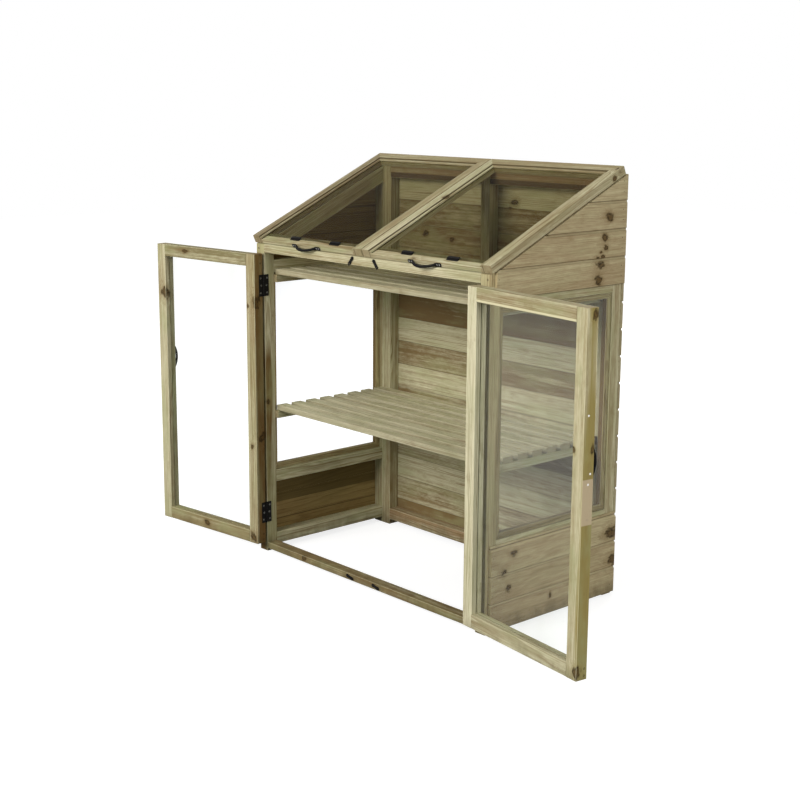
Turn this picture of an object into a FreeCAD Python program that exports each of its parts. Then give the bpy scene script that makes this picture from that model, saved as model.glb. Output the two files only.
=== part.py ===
# Wooden mini greenhouse, millimetres.
# X runs left to right across the doors, Y runs front to back, Z is up.
# The origin is on the ground at the middle of the back posts' back faces.

import FreeCAD, Part
import math
import os

V = FreeCAD.Vector
X_AXIS = V(1, 0, 0)
Y_AXIS = V(0, 1, 0)
Z_AXIS = V(0, 0, 1)
ORIGIN = V(0, 0, 0)

# Sizes

# Frame
frame_width = 1200.0        # across the outer faces of the corner posts
frame_depth = 625.0         # front faces to back faces of the corner posts
timber = 45.0               # square section of posts, studs and rails
roof_pitch = 24.5           # degrees
front_height = 1167.0       # slope of the frame top at the front face
header_height = 29.5        # at its front face
ground_gap = 10.0           # clearance under the sill and the boards
sill_height = 24.0
rafter_depth = 57.0         # measured square to the slope
side_bottom_rail = 20.0     # bottom of the lowest side rail
window_bottom = 310.0       # top of the window sill rail
window_head_drop = 105.0    # bottom of the window head rail below the frame top at the front
back_rail_drop = 42.0       # top back rail below the slope line at its front face
edge_ease = 1.5             # planed-off edges of the timbers

# Shiplap boards
board_thickness = 12.5
board_cover = 92.5
board_lap = 8.0
board_tongue = 6.2
lap_clearance = 0.3
cove_height = 9.0
side_board_setback = 14.0
lower_board_count = 3
upper_board_rise = 28.0     # foot of the upper side boards above the bottom of the head rail
back_board_drop = 8.8       # top of the back boards below the frame top at their inner faces
cove_sag = 0.8              # middle of the cove outside the face of the tongue

# Side windows
pane_thickness = 4.0
pane_edge_clearance = 1.0
side_pane_inset = 4.0
bead = 20.0

# Shelves
lower_shelf_top = 562.0
upper_shelf_rise = 12.0     # top of the upper shelf above the bottom of the head rail
slat_width = 45.0
slat_thickness = 20.0
slat_setback = 50.0         # front edge of the first slat behind the post fronts
slat_gap = 24.0             # wanted between slats, which then share the depth evenly
slat_end_clearance = 2.0
slat_back_clearance = 2.0
bearer_height = 28.0
bearer_width = 18.0
bearer_setback = 43.0

# Doors
door_thickness = 42.0
door_stile = 45.0
door_top_rail = 45.0
door_bottom_rail = 46.0
door_top_gap = 3.5
door_bottom_gap = 3.0
door_meeting_gap = 3.0
left_door_open = 173.8      # degrees open as drawn
right_door_open = 172.1
groove_depth = 8.0
groove_end_clearance = 0.5

# Butt hinges
hinge_gap = 3.2             # between the timbers that a hinge joins
leaf_thickness = 1.5
leaf_width = 23.0           # from the pin
hinge_height = 80.0
hinge_end_distance = 117.0  # hinge middle from the end of the door
knuckle_radius = 3.2
pin_radius = 1.5
pin_clearance = 0.05
pin_stand_off = 4.0         # pin in front of the outer faces
knuckle_count = 3
knuckle_gap = 0.2
knuckle_relief = 0.3

# Roof lids
lid_seat_gap = hinge_gap    # square to the slope, under the lid
lid_front_setback = 1.1
lid_outer_overhang = 6.4    # beyond the outer faces of the posts
lid_middle_gap = 3.5
lid_length = 679.0
lid_thickness = 28.4
lid_raised_width = 36.0
lid_member_width = 48.0
lid_lip_top = 24.0
lid_quirk_width = 2.0
lid_quirk_depth = 2.5
lid_front_rail_width = 45.0
lid_front_rail_top = 16.0
lid_pane_front = 28.0       # the front rail is bare in front of it
lid_hinge_inset = 115.0     # hinge middle from either side of the lid
lid_pin_stand_off = 10.0    # pin behind the back edge of the lid
lid_leaf_width = 34.0
clip_length = 52.0
clip_foot = 9.0             # on the front rail, before the pane
clip_reach = 9.0            # on the pane
clip_thickness = 1.6
left_clip_places = (-390.0, -172.0)
right_clip_places = (199.0, 413.0)

# Bow pulls
pull_length = 156.0
pull_pad_length = 27.0
pull_pad_width = 14.0
pull_pad_thickness = 2.4
pull_rise = 24.0
pull_grip_radius = 3.4
pull_foot_overlap = 4.0     # the grip's end over its pad
pull_foot_height = 0.6
pull_bends = 8
door_pull_height = 685.0

# Turn buttons
button_width = 11.0
button_reach = 26.0         # pivot to the middle of the ring end
button_thickness = 2.0
button_washer = 1.0
button_washer_radius = 4.4
button_screw_radius = 1.6
button_head_radius = 4.2
button_head_rise = 2.3
button_head_chamfer = 1.4
button_hole_radius = 2.6
header_button_x = 55.5
header_button_drop = 6.0    # pivot below the frame top at the front
header_button_angle = 38.0  # from straight down, turned outward
left_sill_button_x = -82.0
right_sill_button_x = 56.0
sill_button_z = 25.0
sill_button_angle = 77.0    # from straight down, turned towards the right

# Worked out from the sizes

half_width = frame_width / 2
front = -frame_depth
back = 0.0
inner = half_width - timber
slope = math.tan(math.radians(roof_pitch))
cos_pitch = math.cos(math.radians(roof_pitch))
sin_pitch = math.sin(math.radians(roof_pitch))
doorway_bottom = ground_gap + sill_height
header_bottom = front_height - header_height
header_button_z = front_height - header_button_drop
window_top = front_height - window_head_drop
upper_boards_bottom = window_top + upper_board_rise
upper_shelf_top = window_top + upper_shelf_rise
door_bottom = doorway_bottom + door_bottom_gap
door_top = header_bottom - door_top_gap
door_outer = inner - hinge_gap
door_inner = door_meeting_gap / 2
stud_right = inner - timber
saw_reach = frame_depth     # how far a saw cut runs past boards and stiles
cut_margin = groove_depth   # how far a pocket or a hole is cut past its piece


def roof_line(y):
    """Height of the frame's sloping top at depth y."""
    return front_height + slope * (y - front)


# Shape helpers

def block(x0, x1, y0, y1, z0, z1):
    corner = V(min(x0, x1), min(y0, y1), min(z0, z1))
    return Part.makeBox(abs(x1 - x0), abs(y1 - y0), abs(z1 - z0), corner)


def prism(points, travel):
    face = Part.Face(Part.makePolygon(points + [points[0]]))
    return face.extrude(travel)


def prism_x(outline, x0, x1):
    """Outline is a list of (y, z)."""
    points = [V(min(x0, x1), y, z) for y, z in outline]
    return prism(points, V(abs(x1 - x0), 0, 0))


def prism_y(outline, y0, y1):
    """Outline is a list of (x, z)."""
    points = [V(x, min(y0, y1), z) for x, z in outline]
    return prism(points, V(0, abs(y1 - y0), 0))


def runs_along(edge, axis):
    if len(edge.Vertexes) < 2:
        return False
    direction = edge.Vertexes[1].Point.sub(edge.Vertexes[0].Point)
    if direction.Length < 1e-6:
        return False
    return abs(direction.normalize().dot(axis)) > 0.9999


def eased(solid, axis, size=None):
    """Plane off the long edges of a timber that run along an axis."""
    edges = [edge for edge in solid.Edges if runs_along(edge, axis)]
    return solid.makeChamfer(size or edge_ease, edges)


def post_timber(x0, x1, y0, y1, z0):
    """Upright timber with its top cut to the roof slope."""
    outline = [(y0, z0), (y1, z0), (y1, roof_line(y1)), (y0, roof_line(y0))]
    return eased(prism_x(outline, x0, x1), Z_AXIS)


def mirror_x(shape):
    return shape.mirror(ORIGIN, X_AXIS)


def turned(shape, pivot, axis, degrees):
    copy = shape.copy()
    copy.rotate(pivot, axis, degrees)
    return copy


def save(name, solids):
    if not isinstance(solids, (list, tuple)):
        solids = [solids]
    pieces = []
    for shape in solids:
        pieces.extend(shape.Solids)
    whole = pieces[0] if len(pieces) == 1 else Part.makeCompound(pieces)
    whole.exportStep("parts/" + name + ".step")


os.makedirs("parts", exist_ok=True)

# Frame

front_post = post_timber(-half_width, -inner, front, front + timber, 0)
back_post = post_timber(-half_width, -inner, back - timber, back, 0)
save("front_post_left", front_post)
save("front_post_right", mirror_x(front_post))
save("back_post_left", back_post)
save("back_post_right", mirror_x(back_post))

back_stud = post_timber(-inner, -stud_right, back - timber, back, 0)
save("back_stud_left", back_stud)
save("back_stud_right", mirror_x(back_stud))
save("back_stud_centre", post_timber(-timber / 2, timber / 2, back - timber, back, 0))

header_outline = [
    (front, header_bottom),
    (front + timber, header_bottom),
    (front + timber, roof_line(front + timber)),
    (front, front_height),
]
save("front_header", eased(prism_x(header_outline, -inner, inner), X_AXIS))

sill = block(-inner, inner, front, front + timber, ground_gap, doorway_bottom)
save("front_sill", eased(sill, X_AXIS))

back_face = back - timber
back_rail_bottom = roof_line(back_face) - back_rail_drop
back_top_outline = [
    (back_face, back_rail_bottom),
    (back, back_rail_bottom),
    (back, roof_line(back)),
    (back_face, roof_line(back_face)),
]
bay_left = -stud_right
bay_right = -timber / 2
top_bay_rail = eased(prism_x(back_top_outline, bay_left, bay_right), X_AXIS)
bottom_bay_rail = block(bay_left, bay_right, back_face, back, side_bottom_rail, side_bottom_rail + timber)
bottom_bay_rail = eased(bottom_bay_rail, X_AXIS)
bay_rails = [top_bay_rail, bottom_bay_rail]
save("back_rails", bay_rails + [mirror_x(rail) for rail in bay_rails])

rafter_fall = rafter_depth / cos_pitch
rafter_outline = [
    (front + timber, roof_line(front + timber) - rafter_fall),
    (back_face, roof_line(back_face) - rafter_fall),
    (back_face, roof_line(back_face)),
    (front + timber, roof_line(front + timber)),
]
rafter = prism_x(rafter_outline, -half_width, -inner)
rafter = eased(rafter, V(0, cos_pitch, sin_pitch))
save("roof_rafters", [rafter, mirror_x(rafter)])


def side_rail(bottom):
    rail = block(-half_width, -inner, front + timber, back_face, bottom, bottom + timber)
    return eased(rail, Y_AXIS)


left_rails = [side_rail(side_bottom_rail), side_rail(window_bottom - timber), side_rail(window_top)]
save("left_side_rails", left_rails)
save("right_side_rails", [mirror_x(rail) for rail in left_rails])

# Shiplap cladding

def shiplap(length, height, first):
    """One board: outer face at -X, inner face at X = 0, running along +Y, bottom at Z = 0.

    The top is thinned to a coved tongue, and the back of the foot is cut away
    to lap over the tongue of the board below. The first board has a full foot.
    """
    face = -board_thickness
    tongue = -board_tongue
    foot = V(face, 0, 0)
    cove_start = V(face, 0, height - cove_height)
    cove_end = V(tongue, 0, height)
    cove_middle = V(tongue - cove_sag, 0, height - cove_height * 0.45)
    tip = V(tongue, 0, height + board_lap)
    tip_back = V(0, 0, height + board_lap)
    lines = [
        Part.makeLine(foot, cove_start),
        Part.Arc(cove_start, cove_middle, cove_end).toShape(),
        Part.makeLine(cove_end, tip),
        Part.makeLine(tip, tip_back),
    ]
    if first:
        corner = V(0, 0, 0)
        lines.append(Part.makeLine(tip_back, corner))
        lines.append(Part.makeLine(corner, foot))
    else:
        lap_top = board_lap + lap_clearance
        lap_face = tongue - lap_clearance
        shoulder = V(0, 0, lap_top)
        recess = V(lap_face, 0, lap_top)
        recess_foot = V(lap_face, 0, 0)
        lines.append(Part.makeLine(tip_back, shoulder))
        lines.append(Part.makeLine(shoulder, recess))
        lines.append(Part.makeLine(recess, recess_foot))
        lines.append(Part.makeLine(recess_foot, foot))
    return Part.Face(Part.Wire(lines)).extrude(V(0, length, 0))


side_board_length = frame_depth - side_board_setback
side_board_start = front + side_board_setback


def side_boards(bottom, count):
    boards = []
    for index in range(count):
        board = shiplap(side_board_length, board_cover, index == 0)
        board.translate(V(-half_width, side_board_start, bottom + index * board_cover))
        boards.append(board)
    return boards


above_roof = prism_x(
    [
        (front - saw_reach, roof_line(front - saw_reach)),
        (back + saw_reach, roof_line(back + saw_reach)),
        (back + saw_reach, roof_line(back + saw_reach) + saw_reach),
        (front - saw_reach, roof_line(back + saw_reach) + saw_reach),
    ],
    -half_width - saw_reach,
    half_width + saw_reach,
)

left_lower = side_boards(ground_gap, lower_board_count)
save("left_lower_boards", left_lower)
save("right_lower_boards", [mirror_x(board) for board in left_lower])

upper_count = math.ceil((roof_line(back) - upper_boards_bottom) / board_cover)
left_upper = [board.cut(above_roof) for board in side_boards(upper_boards_bottom, upper_count)]
save("left_upper_boards", left_upper)
save("right_upper_boards", [mirror_x(board) for board in left_upper])

back_boards_top = roof_line(back) - back_board_drop
back_count = math.ceil((back_boards_top - ground_gap) / board_cover)
back_saw_line = block(
    -frame_width, frame_width, back - saw_reach, back + saw_reach, back_boards_top, back_boards_top + saw_reach
)
back_boards = []
for index in range(back_count):
    board = shiplap(frame_width, board_cover, index == 0)
    board.rotate(ORIGIN, Z_AXIS, -90)
    board.translate(V(-half_width, back, ground_gap + index * board_cover))
    back_boards.append(board.cut(back_saw_line))
save("back_boards", back_boards)

# Side windows

pane_outer = half_width - side_pane_inset
pane_inner = pane_outer - pane_thickness
window_front = front + timber
left_pane = block(
    -pane_outer,
    -pane_inner,
    window_front + pane_edge_clearance,
    back_face - pane_edge_clearance,
    window_bottom + pane_edge_clearance,
    window_top - pane_edge_clearance,
)
save("left_side_pane", left_pane)
save("right_side_pane", mirror_x(left_pane))

bead_inner = pane_inner - bead
left_beads = [
    eased(block(-pane_inner, -bead_inner, window_front, window_front + bead, window_bottom, window_top), Z_AXIS),
    eased(block(-pane_inner, -bead_inner, back_face - bead, back_face, window_bottom, window_top), Z_AXIS),
]
for bead_bottom in (window_bottom, window_top - bead):
    strip = block(
        -pane_inner,
        -bead_inner,
        window_front + bead,
        back_face - bead,
        bead_bottom,
        bead_bottom + bead,
    )
    left_beads.append(eased(strip, Y_AXIS))
save("window_beads", left_beads + [mirror_x(strip) for strip in left_beads])

# Shelves

slat_half = inner - slat_end_clearance
first_slat = front + slat_setback
shelf_run = back_face - slat_back_clearance - first_slat
slat_count = round((shelf_run + slat_gap) / (slat_width + slat_gap))
slat_pitch = (shelf_run - slat_width) / (slat_count - 1)
bearers = []
for shelf_name, shelf_top in (("lower_shelf_slats", lower_shelf_top), ("upper_shelf_slats", upper_shelf_top)):
    slat_bottom = shelf_top - slat_thickness
    slats = []
    for index in range(slat_count):
        slat_front = first_slat + index * slat_pitch
        slat = block(-slat_half, slat_half, slat_front, slat_front + slat_width, slat_bottom, shelf_top)
        slats.append(eased(slat, X_AXIS))
    save(shelf_name, slats)
    bearer = block(
        -inner,
        -inner + bearer_width,
        front + bearer_setback,
        back_face,
        slat_bottom - bearer_height,
        slat_bottom,
    )
    bearers.append(bearer)
    bearers.append(mirror_x(bearer))
save("shelf_bearers", bearers)

# Butt hinges

def many_sided(radius, length, sides=12):
    """Upright prism on Z = 0 with flat sides that touch a circle of the radius."""
    corners = []
    for index in range(sides):
        turn = math.radians(360 / sides * (index + 0.5))
        reach = radius / math.cos(math.radians(180 / sides))
        corners.append(V(reach * math.cos(turn), reach * math.sin(turn), 0))
    return prism(corners, V(0, 0, length))


def knuckles(fixed, gap):
    """Bottom and height of each knuckle of one half of a hinge. The fixed half has the end ones."""
    pitch = hinge_height / knuckle_count
    places = []
    for index in range(knuckle_count):
        if (index % 2 == 0) == fixed:
            places.append((-hinge_height / 2 + index * pitch + gap / 2, pitch - gap))
    return places


def hinge_leaf(fixed, width):
    """Half of a butt hinge, closed, pin on Z, leaf reaching along +Y.

    The fixed half carries the pin and lies on the -X side of the gap.
    """
    outer = -hinge_gap / 2 if fixed else hinge_gap / 2
    face = outer + leaf_thickness if fixed else outer - leaf_thickness
    leaf = block(outer, face, 0, width, -hinge_height / 2, hinge_height / 2)
    clear = knuckle_radius + knuckle_relief
    for bottom, height in knuckles(not fixed, 0):
        leaf = leaf.cut(block(-clear, clear, -clear, clear, bottom, bottom + height))
    for bottom, height in knuckles(fixed, knuckle_gap):
        knuckle = many_sided(knuckle_radius, height)
        knuckle.translate(V(0, 0, bottom))
        leaf = leaf.fuse(knuckle)
    bore = pin_radius if fixed else pin_radius + pin_clearance
    pin_length = hinge_height - knuckle_gap
    core = Part.makeCylinder(bore, pin_length, V(0, 0, -pin_length / 2), Z_AXIS)
    if fixed:
        leaf = leaf.fuse(core)
    else:
        leaf = leaf.cut(core)
    return leaf.removeSplitter()


fixed_leaf = hinge_leaf(True, leaf_width)
moving_leaf = hinge_leaf(False, leaf_width)
fixed_lid_leaf = hinge_leaf(True, lid_leaf_width)
moving_lid_leaf = hinge_leaf(False, lid_leaf_width)

# Bow pulls

def bow_pull():
    """Pull lying along X with its pads on Z = 0 and its grip standing towards +Z."""
    half = pull_length / 2
    foot = half - pull_pad_length + pull_foot_overlap
    arc = Part.Arc(V(-foot, 0, pull_foot_height), V(0, 0, pull_rise), V(foot, 0, pull_foot_height)).toShape()
    path = Part.makePolygon(arc.discretize(pull_bends + 1))
    start = path.Edges[0].Vertexes[0].Point
    tangent = path.Edges[0].tangentAt(path.Edges[0].FirstParameter)
    corners = []
    for step in range(9):
        turn = math.radians(22.5 + 45 * step)
        sideways = V(0, 1, 0) * (pull_grip_radius * math.cos(turn))
        upward = tangent.cross(V(0, 1, 0)) * (pull_grip_radius * math.sin(turn))
        corners.append(start.add(sideways).add(upward))
    ring = Part.makePolygon(corners)
    shape = path.makePipeShell([ring], True, False, 1)
    for side in (-1, 1):
        end = side * half
        pad = block(end - side * pull_pad_length, end, -pull_pad_width / 2, pull_pad_width / 2, 0, pull_pad_thickness)
        pad = pad.makeFillet(
            pull_pad_width * 0.3,
            [edge for edge in pad.Edges if runs_along(edge, Z_AXIS) and abs(edge.Vertexes[0].X - end) < 0.01],
        )
        shape = shape.fuse(pad)
    shape = shape.cut(block(-half, half, -pull_pad_width, pull_pad_width, -pull_rise, 0))
    return shape.removeSplitter()


pull = bow_pull()

# Doors

left_pin = V(-inner + hinge_gap / 2, front - pin_stand_off, 0)
door_back = front + door_thickness
pane_front = front + (door_thickness - pane_thickness) / 2
stile_edge_outer = door_outer - door_stile
stile_edge_inner = door_inner + door_stile

door_pane = block(
    -stile_edge_outer - groove_depth + groove_end_clearance,
    -stile_edge_inner + groove_depth - groove_end_clearance,
    pane_front,
    pane_front + pane_thickness,
    door_bottom + door_bottom_rail - groove_depth + groove_end_clearance,
    door_top - door_top_rail + groove_depth - groove_end_clearance,
)
door_groove = block(
    -stile_edge_outer - groove_depth,
    -stile_edge_inner + groove_depth,
    pane_front,
    pane_front + pane_thickness,
    door_bottom + door_bottom_rail - groove_depth,
    door_top - door_top_rail + groove_depth,
)
hinge_stile = eased(block(-door_outer, -stile_edge_outer, front, door_back, door_bottom, door_top), Z_AXIS)
meeting_stile = eased(block(-stile_edge_inner, -door_inner, front, door_back, door_bottom, door_top), Z_AXIS)
top_rail = eased(
    block(-stile_edge_outer, -stile_edge_inner, front, door_back, door_top - door_top_rail, door_top), X_AXIS
)
bottom_rail = eased(
    block(-stile_edge_outer, -stile_edge_inner, front, door_back, door_bottom, door_bottom + door_bottom_rail),
    X_AXIS,
)

hinge_heights = (door_bottom + hinge_end_distance, door_top - hinge_end_distance)
door_leaves = []
post_leaves = []
for height in hinge_heights:
    place = V(left_pin.x, left_pin.y, height)
    on_door = moving_leaf.copy()
    on_door.translate(place)
    door_leaves.append(on_door)
    on_post = fixed_leaf.copy()
    on_post.translate(place)
    post_leaves.append(on_post)

door_pull = pull.copy()
door_pull.rotate(ORIGIN, Y_AXIS, 90)
door_pull.rotate(ORIGIN, Z_AXIS, -90)
door_pull.translate(V(-door_inner - door_stile / 2, front, door_pull_height))

left_door = {
    "hinge_stile": [hinge_stile.cut(door_groove)],
    "meeting_stile": [meeting_stile.cut(door_groove)],
    "top_rail": [top_rail.cut(door_groove)],
    "bottom_rail": [bottom_rail.cut(door_groove)],
    "pane": [door_pane],
    "hinge_leaves": door_leaves,
    "pull": [door_pull],
}
right_pin = V(-left_pin.x, left_pin.y, 0)
for piece, solids in left_door.items():
    opened = [turned(solid, left_pin, Z_AXIS, -left_door_open) for solid in solids]
    save("left_door_" + piece, opened)
    opened = [turned(mirror_x(solid), right_pin, Z_AXIS, right_door_open) for solid in solids]
    save("right_door_" + piece, opened)
save("door_post_leaves", post_leaves + [mirror_x(leaf) for leaf in post_leaves])

# Roof lids
# A lid is drawn flat, with Y up the slope and Z square to it, then laid on the slope.

lid_outer = half_width + lid_outer_overhang
lid_inner = lid_middle_gap / 2
lid_pane_bottom = lid_front_rail_top
lid_pane_top = lid_pane_bottom + pane_thickness
lid_foot = V(
    0,
    front + lid_front_setback,
    roof_line(front + lid_front_setback) + lid_seat_gap / cos_pitch,
)


def laid(shape):
    copy = shape.copy()
    copy.rotate(ORIGIN, X_AXIS, roof_pitch)
    copy.translate(lid_foot)
    return copy


def moulding():
    """Stepped section as (in from the outer edge, up) pairs."""
    step = lid_raised_width
    groove_floor = lid_lip_top - lid_quirk_depth
    return [
        (0, 0),
        (lid_member_width, 0),
        (lid_member_width, lid_lip_top),
        (step + lid_quirk_width, lid_lip_top),
        (step + lid_quirk_width, groove_floor),
        (step, groove_floor),
        (step, lid_thickness),
        (0, lid_thickness),
    ]


def lid_stile(edge, inward):
    outline = [(edge + inward * across, up) for across, up in moulding()]
    return prism_y(outline, 0, lid_length)


def mitre_waste(edge, inward):
    """Everything behind the mitre that starts at the back corner of an edge."""
    far = lid_member_width + saw_reach
    points = [
        V(edge - inward * saw_reach, lid_length + saw_reach, -cut_margin),
        V(edge + inward * far, lid_length - far, -cut_margin),
        V(edge + inward * far, lid_length + saw_reach, -cut_margin),
    ]
    return prism(points, V(0, 0, lid_thickness + 2 * cut_margin))


left_edge = -lid_outer
right_edge = -lid_inner
left_member_inner = left_edge + lid_member_width
right_member_inner = right_edge - lid_member_width
lid_pane = block(
    left_member_inner - groove_depth + groove_end_clearance,
    right_member_inner + groove_depth - groove_end_clearance,
    lid_pane_front,
    lid_length - lid_member_width + groove_depth - groove_end_clearance,
    lid_pane_bottom,
    lid_pane_top,
)
lid_groove = block(
    left_member_inner - groove_depth,
    right_member_inner + groove_depth,
    -cut_margin,
    lid_length - lid_member_width + groove_depth,
    lid_pane_bottom,
    lid_pane_top,
)
outer_stile = lid_stile(left_edge, 1).cut(mitre_waste(left_edge, 1)).cut(lid_groove)
inner_stile = lid_stile(right_edge, -1).cut(mitre_waste(right_edge, -1)).cut(lid_groove)
back_outline = [(lid_length - across, up) for across, up in moulding()]
back_rail = prism_x(back_outline, left_edge, right_edge)


def lid_corner(x0, x1):
    """Room of a lid's back corner, from one side of the lid to the other side of its member."""
    low = lid_length - lid_member_width - cut_margin
    return block(x0, x1, low, lid_length + cut_margin, -cut_margin, lid_thickness + cut_margin)


left_corner = lid_corner(left_edge - cut_margin, left_member_inner + cut_margin)
right_corner = lid_corner(right_member_inner - cut_margin, right_edge + cut_margin)
back_rail = back_rail.cut(left_corner.cut(mitre_waste(left_edge, 1)))
back_rail = back_rail.cut(right_corner.cut(mitre_waste(right_edge, -1)))
back_rail = back_rail.cut(lid_groove)
front_rail = block(left_member_inner, right_member_inner, 0, lid_front_rail_width, 0, lid_front_rail_top)
front_rail = eased(front_rail, X_AXIS, 1.0)

# Cranked clip that lies on the front rail and steps up onto the pane
clip_outline = [
    (lid_pane_front - clip_foot, lid_front_rail_top),
    (lid_pane_front, lid_front_rail_top),
    (lid_pane_front, lid_pane_top),
    (lid_pane_front + clip_reach, lid_pane_top),
    (lid_pane_front + clip_reach, lid_pane_top + clip_thickness),
    (lid_pane_front - clip_thickness, lid_pane_top + clip_thickness),
    (lid_pane_front - clip_thickness, lid_front_rail_top + clip_thickness),
    (lid_pane_front - clip_foot, lid_front_rail_top + clip_thickness),
]


def pane_clips(places):
    return [prism_x(clip_outline, x - clip_length / 2, x + clip_length / 2) for x in places]


lid_pull = pull.copy()
lid_pull.rotate(ORIGIN, X_AXIS, 90)
lid_pull.translate(V((left_edge + right_edge) / 2, 0, lid_front_rail_top / 2))

lid_hinge_places = (left_edge + lid_hinge_inset, right_edge - lid_hinge_inset)
pin_up = -lid_seat_gap / 2
lid_leaves = []
rail_leaves = []
for x in lid_hinge_places:
    for source, target in ((moving_lid_leaf, lid_leaves), (fixed_lid_leaf, rail_leaves)):
        leaf = source.copy()
        leaf.rotate(ORIGIN, Y_AXIS, -90)
        leaf.rotate(ORIGIN, Z_AXIS, 180)
        leaf.translate(V(x, lid_length + lid_pin_stand_off, pin_up))
        target.append(leaf)

left_lid = {
    "outer_stile": outer_stile,
    "inner_stile": inner_stile,
    "back_rail": back_rail,
    "front_rail": front_rail,
    "pane": lid_pane,
    "pull": lid_pull,
    "hinge_leaves": lid_leaves,
}
for piece, solids in left_lid.items():
    if not isinstance(solids, list):
        solids = [solids]
    placed = [laid(solid) for solid in solids]
    save("left_lid_" + piece, placed)
    save("right_lid_" + piece, [mirror_x(solid) for solid in placed])
save("left_lid_clips", [laid(clip) for clip in pane_clips(left_clip_places)])
save("right_lid_clips", [laid(clip) for clip in pane_clips(right_clip_places)])
laid_rail_leaves = [laid(leaf) for leaf in rail_leaves]
save("lid_rail_leaves", laid_rail_leaves + [mirror_x(leaf) for leaf in laid_rail_leaves])

# Turn buttons

def disc(radius, thickness, y, z):
    """Many-sided disc that lies in X and Z, from Y = y towards +Y."""
    shape = many_sided(radius, thickness)
    shape.rotate(ORIGIN, X_AXIS, -90)
    shape.translate(V(0, y, z))
    return shape


def turn_button():
    """Button hanging straight down from a pivot at the origin, back face on Y = 0, front towards -Y."""
    half = button_width / 2
    low = -button_washer
    face = -button_washer - button_thickness
    plate = block(-half, half, face, low, -button_reach, 0)
    for z in (0, -button_reach):
        plate = plate.fuse(disc(half, button_thickness, face, z))
    plate = plate.fuse(disc(button_washer_radius, button_washer, low, 0))
    shank_length = button_washer + button_thickness
    plate = plate.cut(disc(button_hole_radius, shank_length + 2 * cut_margin, face - cut_margin, -button_reach))
    shank = Part.makeCylinder(button_screw_radius, shank_length, V(0, face, 0), Y_AXIS)
    plate = plate.cut(shank).removeSplitter()
    top = face - button_head_rise
    head = disc(button_head_radius, button_head_rise, top, 0)
    rim = [edge for edge in head.Edges if max(vertex.Y for vertex in edge.Vertexes) < top + 0.01]
    head = head.makeChamfer(button_head_chamfer, rim)
    return [plate, shank.fuse(head)]


button = turn_button()
button_places = (
    ("header_button_left", -header_button_x, header_button_z, header_button_angle),
    ("header_button_right", header_button_x, header_button_z, -header_button_angle),
    ("sill_button_left", left_sill_button_x, sill_button_z, -sill_button_angle),
    ("sill_button_right", right_sill_button_x, sill_button_z, -sill_button_angle),
)
for name, x, z, angle in button_places:
    placed = []
    for solid in button:
        copy = turned(solid, ORIGIN, Y_AXIS, angle)
        copy.translate(V(x, front, z))
        placed.append(copy)
    save(name, placed)
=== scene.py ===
"""Wooden mini greenhouse: the visual model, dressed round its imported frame.

Lengths in the classes are in millimetres and become metres in the meshes. The axes are the
frame's own: X to the right, Y to the back, Z up, with the origin on the ground at the middle
of the back posts' back faces.
"""

import logging
import math
from dataclasses import dataclass, replace
from enum import Enum
from typing import Sequence, Union

import bpy
import numpy as np
from mathutils import Euler, Matrix, Vector


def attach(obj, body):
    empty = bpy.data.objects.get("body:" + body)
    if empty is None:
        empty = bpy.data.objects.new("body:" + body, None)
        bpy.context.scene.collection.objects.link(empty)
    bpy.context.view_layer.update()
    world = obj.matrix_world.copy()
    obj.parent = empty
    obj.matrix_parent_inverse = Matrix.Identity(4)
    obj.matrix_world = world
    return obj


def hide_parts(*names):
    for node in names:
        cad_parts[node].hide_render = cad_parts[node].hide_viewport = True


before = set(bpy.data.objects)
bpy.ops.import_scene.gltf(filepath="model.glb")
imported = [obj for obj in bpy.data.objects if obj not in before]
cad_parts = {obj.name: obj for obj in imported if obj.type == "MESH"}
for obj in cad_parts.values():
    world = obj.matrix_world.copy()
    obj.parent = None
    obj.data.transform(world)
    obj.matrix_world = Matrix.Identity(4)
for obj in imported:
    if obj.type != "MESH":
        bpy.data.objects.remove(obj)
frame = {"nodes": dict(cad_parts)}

LOG = logging.getLogger("greenhouse")
MM = 0.001

Colour = tuple[float, float, float]
Triple = tuple[float, float, float]
Material = bpy.types.Material
Group = bpy.types.NodeTree
Socket = bpy.types.NodeSocket
Sockets = bpy.types.bpy_prop_collection
Value = Union[float, Sequence[float], Socket]

ORIGIN: Triple = (0.0, 0.0, 0.0)
WHITE: Colour = (1.0, 1.0, 1.0)


def paint(red: int, green: int, blue: int) -> Colour:
    """Linear colour from the 0 to 255 values of a display.

    Args:
        red, green, blue: Display values.

    Returns:
        The colour as shaders take it.
    """
    shares = np.array([red, green, blue]) / 255.0
    low = shares / 12.92
    high = ((shares + 0.055) / 1.055) ** 2.4
    return tuple(float(c) for c in np.where(shares <= 0.04045, low, high))


def metres(place: Triple) -> Triple:
    """A place in millimetres, in metres."""
    return tuple(c * MM for c in place)


class Side(Enum):
    """Left or right half of the greenhouse, seen from the front."""

    LEFT = "left"
    RIGHT = "right"

    @property
    def sign(self) -> int:
        """-1 on the left, where X is negative, and 1 on the right."""
        return -1 if self is Side.LEFT else 1


class Along(Enum):
    """Way that the grain of a timber runs, as the turn in degrees that lays it along X."""

    ACROSS = (0.0, 0.0, 0.0)
    DEPTH = (0.0, 0.0, -90.0)
    UPRIGHT = (0.0, 90.0, 0.0)
    SLOPE = (-24.5, 0.0, -90.0)
    LEFT_DOOR = (0.0, 0.0, 173.8)
    RIGHT_DOOR = (0.0, 0.0, -172.1)

    @property
    def radians(self) -> Triple:
        """The same turn in radians."""
        return tuple(math.radians(angle) for angle in self.value)

    def lay(self, point: Triple) -> Triple:
        """A point of the frame after the turn, as the grain pattern reads it."""
        return tuple(Euler(self.radians).to_matrix() @ Vector(point))


# Meshes


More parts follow.
